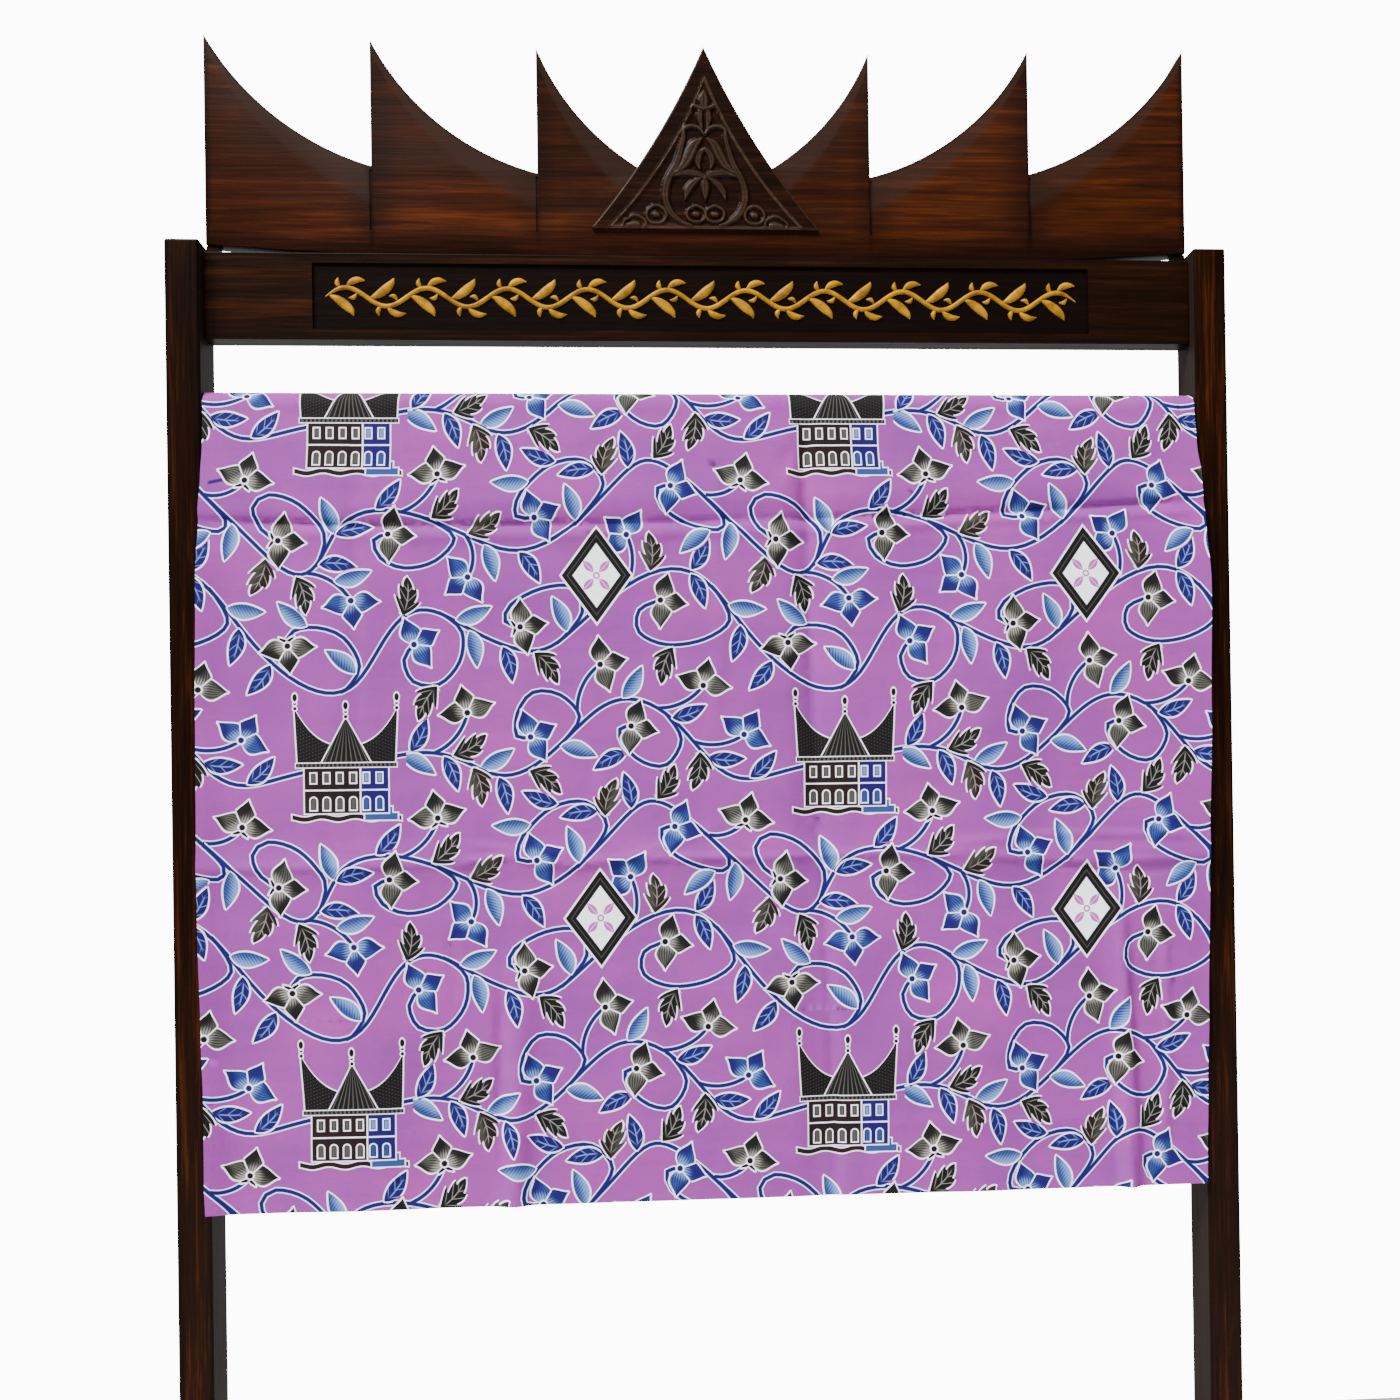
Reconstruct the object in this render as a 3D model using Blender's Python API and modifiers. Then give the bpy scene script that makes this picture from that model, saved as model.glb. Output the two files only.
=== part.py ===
"""A batik cloth hung over the bar of a carved wooden display stand.

Metres, +Z up, origin on the floor at the middle of the stand, front towards -Y.
The cloth is one sheet that falls in front of the bar and behind it. It keeps the
creases of its folding, and its front passes just before the faces of the posts.
"""

import math

import bmesh
import bpy

# Stand
CLEAR_WIDTH = 1.130
POST_WIDTH = 0.038
POST_DEPTH = 0.064
POST_TOP = 1.560
FOOT_LENGTH = 0.420
FOOT_WIDTH = 0.050
FOOT_HEIGHT = 0.055
FOOT_TOE = 0.026
STRETCHER_DEPTH = 0.024
STRETCHER_HEIGHT = 0.070
STRETCHER_MIDDLE = 0.150
RAIL_DEPTH = 0.030
RAIL_HEIGHT = 0.098
RAIL_TOP = 1.551
PANEL_WIDTH = 0.889
PANEL_HEIGHT = 0.075
PANEL_DEPTH = 0.003
EDGE_ROUND = 0.0025
SEAT_GAP = 0.0003

# Bar that carries the cloth
BAR_RADIUS = 0.018
BAR_Y = -0.014
BAR_Z = 1.373
BAR_SIDES = 32

# Crown board and its triangular front piece, with heights above the board's foot
CROWN_HALF = 0.5625
CROWN_DEPTH = 0.022
CROWN_FOOT = RAIL_TOP + SEAT_GAP
END_RELIEF = 0.009
RELIEF_LENGTH = 0.150
PEG_WIDTH = 0.014
PEG_DEPTH = 0.016
# Each horn has an upright side, a tip, and a hollow slope of a given bow down to a notch
HORNS = (
    {"side": 0.5625, "tip": 0.247, "notch": 0.378, "low": 0.100, "bow": 0.098},
    {"side": 0.3780, "tip": 0.244, "notch": 0.191, "low": 0.094, "bow": 0.108},
    {"side": 0.1910, "tip": 0.238, "notch": 0.076, "low": 0.102, "bow": 0.080},
)
APEX_HEIGHT = 0.240
PEDIMENT_HALF = 0.130
PEDIMENT_FOOT = 0.031
PEDIMENT_DEPTH = 0.005
PEDIMENT_BOW = 0.035
ARC_STEPS = 9
MEETING_GAP = 0.002
GROOVE_WIDTH = 0.0026
GROOVE_DEPTH = 0.0015
GROOVE_FOOT = 0.027
GROOVE_TOP = 0.004
GROOVE_SHIFT = 0.0007

# Cloth, cut flat and then hung
CLOTH_WIDTH = 1.150
CLOTH_LENGTH = 1.800
CLOTH_THICKNESS = 0.0015
FRONT_FALL = 0.926
CREASE_PITCH = 0.385
DRAPE_GAP = 0.0004
DRAPE_RADIUS = BAR_RADIUS + DRAPE_GAP + CLOTH_THICKNESS / 2
QUARTER_TURN = DRAPE_RADIUS * math.pi / 2
BOW_NEAR = 0.003
BOW_FRONT = 0.005
BOW_BACK = 0.004
BACK_EDGE = -0.0020
BACK_WAVE = 0.006
BACK_WAVE_LENGTH = 0.290

# Where the two front edges hang, measured from the inner faces of the posts
EDGES = (
    {"below": 0.000, "left": -0.0020, "right": -0.0020},
    {"below": 0.040, "left": -0.0020, "right": -0.0010},
    {"below": 0.080, "left": 0.0000, "right": 0.0040},
    {"below": 0.120, "left": 0.0025, "right": 0.0065},
    {"below": 0.210, "left": 0.0055, "right": 0.0115},
    {"below": 0.340, "left": 0.0072, "right": 0.0095},
    {"below": 0.560, "left": 0.0080, "right": 0.0045},
    {"below": 0.700, "left": 0.0055, "right": 0.0015},
    {"below": 0.780, "left": 0.0035, "right": -0.0010},
    {"below": 0.860, "left": 0.0040, "right": -0.0025},
    {"below": 0.930, "left": 0.0020, "right": -0.0030},
)

# Upright folds of the front, with lift towards the viewer
FOLDS = (
    {"name": "middle dent", "top": 0.110, "foot": 0.122, "from": 0.02, "to": 1.00,
     "width": 0.070, "lift": -0.006, "lift_foot": -0.003},
    {"name": "left swell", "top": -0.215, "foot": -0.240, "from": 0.55, "to": 1.00,
     "width": 0.052, "lift": 0.000, "lift_foot": 0.013},
    {"name": "right ridge", "top": 0.462, "foot": 0.487, "from": 0.50, "to": 1.00,
     "width": 0.034, "lift": 0.002, "lift_foot": 0.012},
    {"name": "left belly", "top": -0.420, "foot": -0.400, "from": 0.15, "to": 0.95,
     "width": 0.170, "lift": 0.003, "lift_foot": 0.004},
    {"name": "right belly", "top": 0.330, "foot": 0.300, "from": 0.12, "to": 0.95,
     "width": 0.160, "lift": 0.004, "lift_foot": 0.003},
    {"name": "left edge", "top": -0.575, "foot": -0.575, "from": 0.10, "to": 1.00,
     "width": 0.070, "lift": 0.003, "lift_foot": 0.006},
    {"name": "right edge", "top": 0.575, "foot": 0.575, "from": 0.10, "to": 1.00,
     "width": 0.060, "lift": 0.003, "lift_foot": -0.002},
)

# Creases kept from the folded cloth, counted in pitches up from the front hem.
# A slant lifts a crease's right end and lowers its left end.
CREASES = (
    {"name": "lower", "row": 1.0, "width": 0.030, "lift": 0.003, "slant": 0.000},
    {"name": "upper", "row": 2.0, "width": 0.026, "lift": -0.0035, "slant": 0.012},
    {"name": "back upper", "row": 3.0, "width": 0.030, "lift": 0.003, "slant": 0.000},
    {"name": "back lower", "row": 4.0, "width": 0.030, "lift": -0.003, "slant": 0.000},
)

# The grid's pitch, and closer stops as (place, reach, pitch) about the narrow folds and the bar
COLUMN_PITCH = 0.042
ROW_PITCH = 0.075
FINE_COLUMNS = ((0.116, 0.036, 0.018), (-0.236, 0.026, 0.013), (0.482, 0.022, 0.011))
FINE_TOP = (FRONT_FALL, 0.036, 0.0045)
FINE_CREASE = (0.045, 0.015)

COLOURS = {
    "post": (0.055, 0.024, 0.011),
    "rail": (0.045, 0.019, 0.009),
    "crown": (0.070, 0.030, 0.014),
    "hidden": (0.060, 0.030, 0.016),
    "cloth": (0.420, 0.200, 0.440),
}


def material(name, colour, roughness):
    """A plain Principled material."""
    made = bpy.data.materials.new(name)
    made.use_nodes = True
    shader = made.node_tree.nodes["Principled BSDF"]
    shader.inputs["Base Color"].default_value = (*colour, 1.0)
    shader.inputs["Roughness"].default_value = roughness
    shader.inputs["Metallic"].default_value = 0.0
    return made


def collection(name):
    """A collection under the scene's own."""
    made = bpy.data.collections.new(name)
    bpy.context.scene.collection.children.link(made)
    return made


def add(name, mesh, group, surface, place=(0.0, 0.0, 0.0)):
    """Put a mesh into the scene as one named piece."""
    piece = bpy.data.objects.new(name, mesh)
    piece.location = place
    piece.data.materials.append(surface)
    group.objects.link(piece)
    return piece


def box_mesh(name, size):
    """A box about its own middle, with its size in the mesh."""
    shape = bmesh.new()
    bmesh.ops.create_cube(shape, size=1.0)
    bmesh.ops.scale(shape, vec=size, verts=shape.verts)
    mesh = bpy.data.meshes.new(name)
    shape.to_mesh(mesh)
    shape.free()
    return mesh


def round_edges(piece, width):
    """Ease the sharp edges of a piece of timber."""
    bevel = piece.modifiers.new("eased edges", "BEVEL")
    bevel.width = width
    bevel.segments = 2
    bevel.limit_method = "ANGLE"
    bevel.angle_limit = math.radians(40)


def board_mesh(name, outline, depth):
    """A board cut to an outline in X and Z, its depth along Y."""
    flat = bpy.data.curves.new(name, "CURVE")
    flat.dimensions = "2D"
    flat.fill_mode = "BOTH"
    flat.extrude = depth / 2
    spline = flat.splines.new("POLY")
    spline.points.add(len(outline) - 1)
    for point, (x, z) in zip(spline.points, outline):
        point.co = (x, z, 0.0, 1.0)
    spline.use_cyclic_u = True
    sketch = bpy.data.objects.new(name, flat)
    sketch.rotation_euler = (math.pi / 2, 0.0, 0.0)
    bpy.context.scene.collection.objects.link(sketch)
    bpy.context.view_layer.update()
    seen = sketch.evaluated_get(bpy.context.evaluated_depsgraph_get())
    mesh = bpy.data.meshes.new_from_object(seen)
    shape = bmesh.new()
    shape.from_mesh(mesh)
    bmesh.ops.remove_doubles(shape, verts=shape.verts, dist=0.00001)
    bmesh.ops.transform(shape, matrix=sketch.matrix_world, verts=shape.verts)
    bmesh.ops.recalc_face_normals(shape, faces=shape.faces)
    bmesh.ops.dissolve_limit(shape, angle_limit=math.radians(0.5), verts=shape.verts, edges=shape.edges)
    shape.to_mesh(mesh)
    shape.free()
    bpy.data.objects.remove(sketch)
    return mesh


def cut(piece, cutter):
    """Take a cutter's shape out of a piece."""
    cutter.hide_render = True
    cutter.display_type = "WIRE"
    step = piece.modifiers.new("cut " + cutter.name, "BOOLEAN")
    step.operation = "DIFFERENCE"
    step.solver = "EXACT"
    step.object = cutter


def arc(start, end, bow, steps):
    """Points of an arc that sags below its chord by a share of the chord's length."""
    (x0, z0), (x1, z1) = start, end
    chord = math.dist(start, end)
    half = 2.0 * math.atan(2.0 * bow)
    radius = chord / (2.0 * math.sin(half))
    points = []
    for step in range(steps + 1):
        turn = half * (2.0 * step / steps - 1.0)
        along = 0.5 + radius * math.sin(turn) / chord
        sag = (radius * math.cos(turn) - radius * math.cos(half)) / chord
        normal_x = (z1 - z0) * math.copysign(1.0, x1 - x0)
        normal_z = -abs(x1 - x0)
        points.append((x0 + along * (x1 - x0) + sag * normal_x, z0 + along * (z1 - z0) + sag * normal_z))
    return points


def pediment_side():
    """The left slope of the triangle, from its foot up to the apex."""
    return arc((-PEDIMENT_HALF, PEDIMENT_FOOT), (0.0, APEX_HEIGHT), PEDIMENT_BOW, 2 * ARC_STEPS)


def crown_outline():
    """The board's outline: a relieved foot, three horns a side and the middle triangle."""
    left = [
        (-CROWN_HALF + RELIEF_LENGTH, 0.0),
        (-CROWN_HALF, END_RELIEF),
    ]
    for horn in HORNS:
        left += arc((-horn["side"], horn["tip"]), (-horn["notch"], horn["low"]), horn["bow"], ARC_STEPS)
    inner = -HORNS[-1]["notch"] + MEETING_GAP
    left += [point for point in pediment_side() if point[0] > inner]
    right = [(-x, z) for x, z in reversed(left[:-1])]
    return left + right


def make_posts(group, surface):
    """Two square posts that stand on the feet."""
    foot_top = FOOT_HEIGHT + SEAT_GAP
    height = POST_TOP - foot_top
    middle = (CLEAR_WIDTH + POST_WIDTH) / 2
    for name, side in (("post_left", -1), ("post_right", 1)):
        mesh = box_mesh(name, (POST_WIDTH, POST_DEPTH, height))
        place = (side * middle, 0.0, foot_top + height / 2)
        round_edges(add(name, mesh, group, surface, place), EDGE_ROUND)


def foot_outline():
    """Side view of a foot: flat below, rising from low toes to the post."""
    half = FOOT_LENGTH / 2
    shoulder = POST_DEPTH / 2 + 0.020
    slope = arc((-half, FOOT_TOE), (-shoulder, FOOT_HEIGHT), 0.06, 6)
    left = [(-half, 0.0)] + slope
    return left + [(-x, z) for x, z in reversed(left)]


def make_feet(group, surface):
    """Two feet across the depth of the stand."""
    middle = (CLEAR_WIDTH + POST_WIDTH) / 2
    for name, side in (("foot_left", -1), ("foot_right", 1)):
        mesh = board_mesh(name, foot_outline(), FOOT_WIDTH)
        foot = add(name, mesh, group, surface, (side * middle, 0.0, 0.0))
        foot.rotation_euler = (0.0, 0.0, math.pi / 2)


def make_rails(group, cutters, surface, hidden):
    """The head rail with its sunk panel, and the plain stretcher near the floor."""
    between = CLEAR_WIDTH - 2 * SEAT_GAP
    head = add(
        "head_rail",
        box_mesh("head_rail", (between, RAIL_DEPTH, RAIL_HEIGHT)),
        group,
        surface,
        (0.0, 0.0, RAIL_TOP - RAIL_HEIGHT / 2),
    )
    panel = add(
        "panel_cutter",
        box_mesh("panel_cutter", (PANEL_WIDTH, 2 * PANEL_DEPTH, PANEL_HEIGHT)),
        cutters,
        surface,
        (0.0, -RAIL_DEPTH / 2, RAIL_TOP - RAIL_HEIGHT / 2),
    )
    round_edges(head, EDGE_ROUND / 2)
    cut(head, panel)
    stretcher = add(
        "lower_stretcher",
        box_mesh("lower_stretcher", (between, STRETCHER_DEPTH, STRETCHER_HEIGHT)),
        group,
        hidden,
        (0.0, 0.0, STRETCHER_MIDDLE),
    )
    round_edges(stretcher, EDGE_ROUND)


def make_bar(group, surface):
    """The round bar that the cloth hangs over."""
    shape = bmesh.new()
    bmesh.ops.create_cone(
        shape,
        cap_ends=True,
        segments=BAR_SIDES,
        radius1=BAR_RADIUS,
        radius2=BAR_RADIUS,
        depth=CLEAR_WIDTH - 2 * SEAT_GAP,
    )
    mesh = bpy.data.meshes.new("hanging_bar")
    shape.to_mesh(mesh)
    shape.free()
    mesh.shade_smooth()
    mesh.set_sharp_from_angle(angle=math.radians(40))
    bar = add("hanging_bar", mesh, group, surface, (0.0, BAR_Y, BAR_Z))
    bar.rotation_euler = (0.0, math.pi / 2, 0.0)


def make_crown(group, cutters, surface):
    """The horned board, its grooves, its triangular front piece and its two end pegs."""
    crown = add(
        "crown_board",
        board_mesh("crown_board", crown_outline(), CROWN_DEPTH),
        group,
        surface,
        (0.0, 0.0, CROWN_FOOT),
    )
    for number, horn in enumerate(HORNS[:2]):
        length = horn["low"] - GROOVE_TOP - GROOVE_FOOT
        for side in (-1, 1):
            name = "groove_%d_%s" % (number + 1, "left" if side < 0 else "right")
            size = (GROOVE_WIDTH, 2 * GROOVE_DEPTH, length)
            x = side * (horn["notch"] + GROOVE_SHIFT)
            place = (x, -CROWN_DEPTH / 2, CROWN_FOOT + GROOVE_FOOT + length / 2)
            groove = add(name, box_mesh(name, size), cutters, surface, place)
            cut(crown, groove)
    left = pediment_side()
    outline = left + [(-x, z) for x, z in reversed(left[:-1])]
    front = -CROWN_DEPTH / 2 - SEAT_GAP - PEDIMENT_DEPTH / 2
    mesh = board_mesh("crown_pediment", outline, PEDIMENT_DEPTH)
    add("crown_pediment", mesh, group, surface, (0.0, front, CROWN_FOOT))
    height = END_RELIEF * (1.0 - PEG_WIDTH / RELIEF_LENGTH) - SEAT_GAP
    middle = CROWN_HALF - PEG_WIDTH / 2
    for name, side in (("crown_peg_left", -1), ("crown_peg_right", 1)):
        mesh = box_mesh(name, (PEG_WIDTH, PEG_DEPTH, height))
        add(name, mesh, group, surface, (side * middle, 0.0, CROWN_FOOT + height / 2))


def eased(share):
    """A share from 0 to 1 with soft ends."""
    share = min(max(share, 0.0), 1.0)
    return share * share * (3.0 - 2.0 * share)


def hump(distance, width):
    """A soft hump, 1 in its middle and 0 from half its width on."""
    share = abs(distance) / (width / 2)
    return 0.0 if share >= 1.0 else 0.5 + 0.5 * math.cos(math.pi * share)


def crease(distance, width):
    """A crease with a sharper middle than a hump."""
    share = abs(distance) / (width / 2)
    return 0.0 if share >= 1.0 else (1.0 - share) ** 2 * (1.0 + share)


def edge_beyond(below, side):
    """How far a front edge hangs past the inner face of its post."""
    for upper, lower in zip(EDGES, EDGES[1:]):
        if below <= lower["below"]:
            share = eased((below - upper["below"]) / (lower["below"] - upper["below"]))
            return upper[side] + share * (lower[side] - upper[side])
    return EDGES[-1][side]


def front_lift(across, along, below):
    """How far the front fall stands out from the upright plane under the bar."""
    free = eased(below / 0.05)
    lift = BOW_NEAR * eased(below / 0.04) + BOW_FRONT * eased((below - 0.03) / 0.10)
    for fold in FOLDS:
        share = min(max((below - fold["from"]) / (fold["to"] - fold["from"]), 0.0), 1.0)
        place = fold["top"] + share * (fold["foot"] - fold["top"])
        height = fold["lift"] + share * (fold["lift_foot"] - fold["lift"])
        start = eased((below - fold["from"]) / 0.10)
        lift += free * start * height * hump(across - place, fold["width"])
    return lift + free * crease_lift(across, along)


def back_lift(across, along, below):
    """How far the back fall stands out behind the bar, in soft upright waves."""
    free = eased(below / 0.08)
    wave = BACK_WAVE * math.cos(2.0 * math.pi * across / BACK_WAVE_LENGTH) * below
    return BOW_BACK * free + free * (wave + crease_lift(across, along))


def crease_lift(across, along):
    """The lift of the creases that run from side to side, at a place on the flat cloth."""
    total = 0.0
    for fold in CREASES:
        row = fold["row"] * CREASE_PITCH + fold["slant"] * across / (CLOTH_WIDTH / 2)
        total += fold["lift"] * crease(along - row, 2 * fold["width"])
    return total


def drape(across, along):
    """Where a point of the flat cloth hangs, measured from its middle line and its front hem."""
    past_top = FRONT_FALL - along
    below = abs(past_top) - QUARTER_TURN
    in_front = past_top > 0.0
    side = "left" if across < 0.0 else "right"
    beyond = edge_beyond(max(below, 0.0), side) if in_front else BACK_EDGE
    x = across * (CLEAR_WIDTH / 2 + beyond) / (CLOTH_WIDTH / 2)
    if below <= 0.0:
        turn = past_top / DRAPE_RADIUS
        return (x, BAR_Y - DRAPE_RADIUS * math.sin(turn), BAR_Z + DRAPE_RADIUS * math.cos(turn))
    if in_front:
        return (x, BAR_Y - DRAPE_RADIUS - front_lift(across, along, below), BAR_Z - below)
    return (x, BAR_Y + DRAPE_RADIUS + back_lift(across, along, below), BAR_Z - below)


def stops(start, end, pitch, special):
    """Even stops from start to end, with closer ones about each special place."""
    count = round((end - start) / pitch)
    found = [start + (end - start) * number / count for number in range(count + 1)]
    for place, reach, fine in special:
        steps = round(2 * reach / fine)
        found = [stop for stop in found if abs(stop - place) > reach + fine / 2 or stop in (start, end)]
        found += [place - reach + 2 * reach * number / steps for number in range(steps + 1)]
    return sorted(stop for stop in found if start <= stop <= end)


def make_cloth(group, surface):
    """The cloth: a grid laid out flat, then hung over the bar and thickened."""
    half = CLOTH_WIDTH / 2
    columns = stops(-half, half, COLUMN_PITCH, FINE_COLUMNS)
    rows = stops(
        0.0,
        CLOTH_LENGTH,
        ROW_PITCH,
        [FINE_TOP] + [(fold["row"] * CREASE_PITCH, *FINE_CREASE) for fold in CREASES],
    )
    shape = bmesh.new()
    bmesh.ops.create_grid(shape, x_segments=len(columns) - 1, y_segments=len(rows) - 1, size=0.5)
    for vertex in shape.verts:
        column = columns[round((vertex.co.x + 0.5) * (len(columns) - 1))]
        row = rows[round((vertex.co.y + 0.5) * (len(rows) - 1))]
        vertex.co = drape(column, row)
    bmesh.ops.recalc_face_normals(shape, faces=shape.faces)
    mesh = bpy.data.meshes.new("batik_cloth")
    shape.to_mesh(mesh)
    shape.free()
    mesh.shade_smooth()
    cloth = add("batik_cloth", mesh, group, surface)
    sheet = cloth.modifiers.new("thickness", "SOLIDIFY")
    sheet.thickness = CLOTH_THICKNESS
    sheet.offset = 0.0
    sheet.use_even_offset = True


def main():
    for old in list(bpy.data.objects):
        bpy.data.objects.remove(old)
    group = collection("batik_cloth_on_stand")
    cutters = collection("cutters")
    post = material("dark post wood", COLOURS["post"], 0.35)
    rail = material("dark rail wood", COLOURS["rail"], 0.30)
    crown = material("carved crown wood", COLOURS["crown"], 0.32)
    hidden = material("plain dark wood", COLOURS["hidden"], 0.45)
    cloth = material("batik cotton", COLOURS["cloth"], 0.85)
    make_posts(group, post)
    make_feet(group, hidden)
    make_rails(group, cutters, rail, hidden)
    make_bar(group, hidden)
    make_crown(group, cutters, crown)
    make_cloth(group, cloth)


main()
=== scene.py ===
"""The looks of a batik cloth that hangs over the bar of a carved display stand.

Metres, in the frame's own axes: X right, front towards -Y, Z up, floor at 0.
The cloth is one thin sheet. Its print is laid out flat, cut into the sheet's mesh,
and then hung over the bar together with it.
"""

import math

import bmesh
import bpy
import numpy as np
from mathutils import Matrix, Vector
from mathutils.geometry import delaunay_2d_cdt


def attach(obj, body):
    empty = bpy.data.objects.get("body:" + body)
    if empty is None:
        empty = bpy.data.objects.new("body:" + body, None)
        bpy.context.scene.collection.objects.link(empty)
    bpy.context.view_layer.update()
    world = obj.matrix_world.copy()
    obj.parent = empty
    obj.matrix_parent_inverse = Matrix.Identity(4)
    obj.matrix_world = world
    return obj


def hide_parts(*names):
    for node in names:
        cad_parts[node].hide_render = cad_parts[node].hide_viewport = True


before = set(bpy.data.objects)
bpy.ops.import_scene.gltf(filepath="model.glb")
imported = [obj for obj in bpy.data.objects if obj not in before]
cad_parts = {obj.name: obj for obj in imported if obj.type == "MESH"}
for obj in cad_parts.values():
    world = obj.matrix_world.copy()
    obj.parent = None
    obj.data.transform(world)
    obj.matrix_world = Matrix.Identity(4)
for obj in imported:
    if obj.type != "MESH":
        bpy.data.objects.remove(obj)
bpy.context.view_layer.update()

# Stand, with the same sizes as its solids
CLEAR_WIDTH = 1.130
POST_WIDTH = 0.038
RAIL_DEPTH = 0.030
RAIL_HEIGHT = 0.098
RAIL_TOP = 1.551
RAIL_MIDDLE = RAIL_TOP - RAIL_HEIGHT / 2
FACE_REACH = 0.0004
PANEL_WIDTH = 0.889
PANEL_HEIGHT = 0.075
PANEL_DEPTH = 0.003
SEAT_GAP = 0.0003
BAR_RADIUS = 0.018
BAR_Y = -0.014
BAR_Z = 1.373

# Crown board and its triangular front piece, with heights above the board's foot
CROWN_HALF = 0.5625
CROWN_DEPTH = 0.022
CROWN_FOOT = RAIL_TOP + SEAT_GAP
CROWN_ROUND = 0.0012
END_RELIEF = 0.009
RELIEF_LENGTH = 0.150
HORNS = (
    {"side": 0.5625, "tip": 0.247, "notch": 0.378, "low": 0.100, "bow": 0.098},
    {"side": 0.3780, "tip": 0.244, "notch": 0.191, "low": 0.094, "bow": 0.108},
    {"side": 0.1910, "tip": 0.238, "notch": 0.076, "low": 0.102, "bow": 0.080},
)
APEX_HEIGHT = 0.240
PEDIMENT_HALF = 0.130
PEDIMENT_FOOT = 0.031
PEDIMENT_DEPTH = 0.005
PEDIMENT_BOW = 0.035
ARC_STEPS = 28
MEETING_GAP = 0.002
GROOVE_WIDTH = 0.0026
GROOVE_DEPTH = 0.0015
GROOVE_FOOT = 0.027
GROOVE_TOP = 0.004
GROOVE_SHIFT = 0.0007

# Cloth, cut flat and then hung, with the same sizes and folds as its solid
CLOTH_WIDTH = 1.150
CLOTH_LENGTH = 1.800
CLOTH_THICKNESS = 0.0015
FRONT_FALL = 0.926
CREASE_PITCH = 0.385
DRAPE_GAP = 0.0004
DRAPE_RADIUS = BAR_RADIUS + DRAPE_GAP + CLOTH_THICKNESS / 2
QUARTER_TURN = DRAPE_RADIUS * math.pi / 2
BOW_NEAR = 0.003
BOW_FRONT = 0.005
BOW_BACK = 0.004
BACK_EDGE = -0.0020
BACK_WAVE = 0.006
BACK_WAVE_LENGTH = 0.290

# Front edges past the inner faces of the posts: rows of (below the bar, left, right)
EDGES = (
    (0.000, -0.0020, -0.0020), (0.040, -0.0020, -0.0010), (0.080, 0.0000, 0.0040),
    (0.120, 0.0025, 0.0065), (0.210, 0.0055, 0.0115), (0.340, 0.0072, 0.0095),
    (0.560, 0.0080, 0.0045), (0.700, 0.0055, 0.0015), (0.780, 0.0035, -0.0010),
    (0.860, 0.0040, -0.0025), (0.930, 0.0020, -0.0030),
)

# Upright folds of the front fall: place at the top and foot, start and end below the bar,
# width, and lift at the top and foot
FOLDS = (
    (0.110, 0.122, 0.02, 1.00, 0.070, -0.006, -0.003),
    (-0.215, -0.240, 0.55, 1.00, 0.052, 0.000, 0.013),
    (0.462, 0.487, 0.50, 1.00, 0.034, 0.002, 0.012),
    (-0.420, -0.400, 0.15, 0.95, 0.170, 0.003, 0.004),
    (0.330, 0.300, 0.12, 0.95, 0.160, 0.004, 0.003),
    (-0.575, -0.575, 0.10, 1.00, 0.070, 0.003, 0.006),
    (0.575, 0.575, 0.10, 1.00, 0.060, 0.003, -0.002),
)

# Creases from side to side: number of pitches from the front hem, half width, lift and slant
CREASES = (
    (1.0, 0.030, 0.003, 0.000), (2.0, 0.026, -0.0035, 0.012),
    (3.0, 0.030, 0.003, 0.000), (4.0, 0.030, -0.003, 0.000),
)

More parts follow.
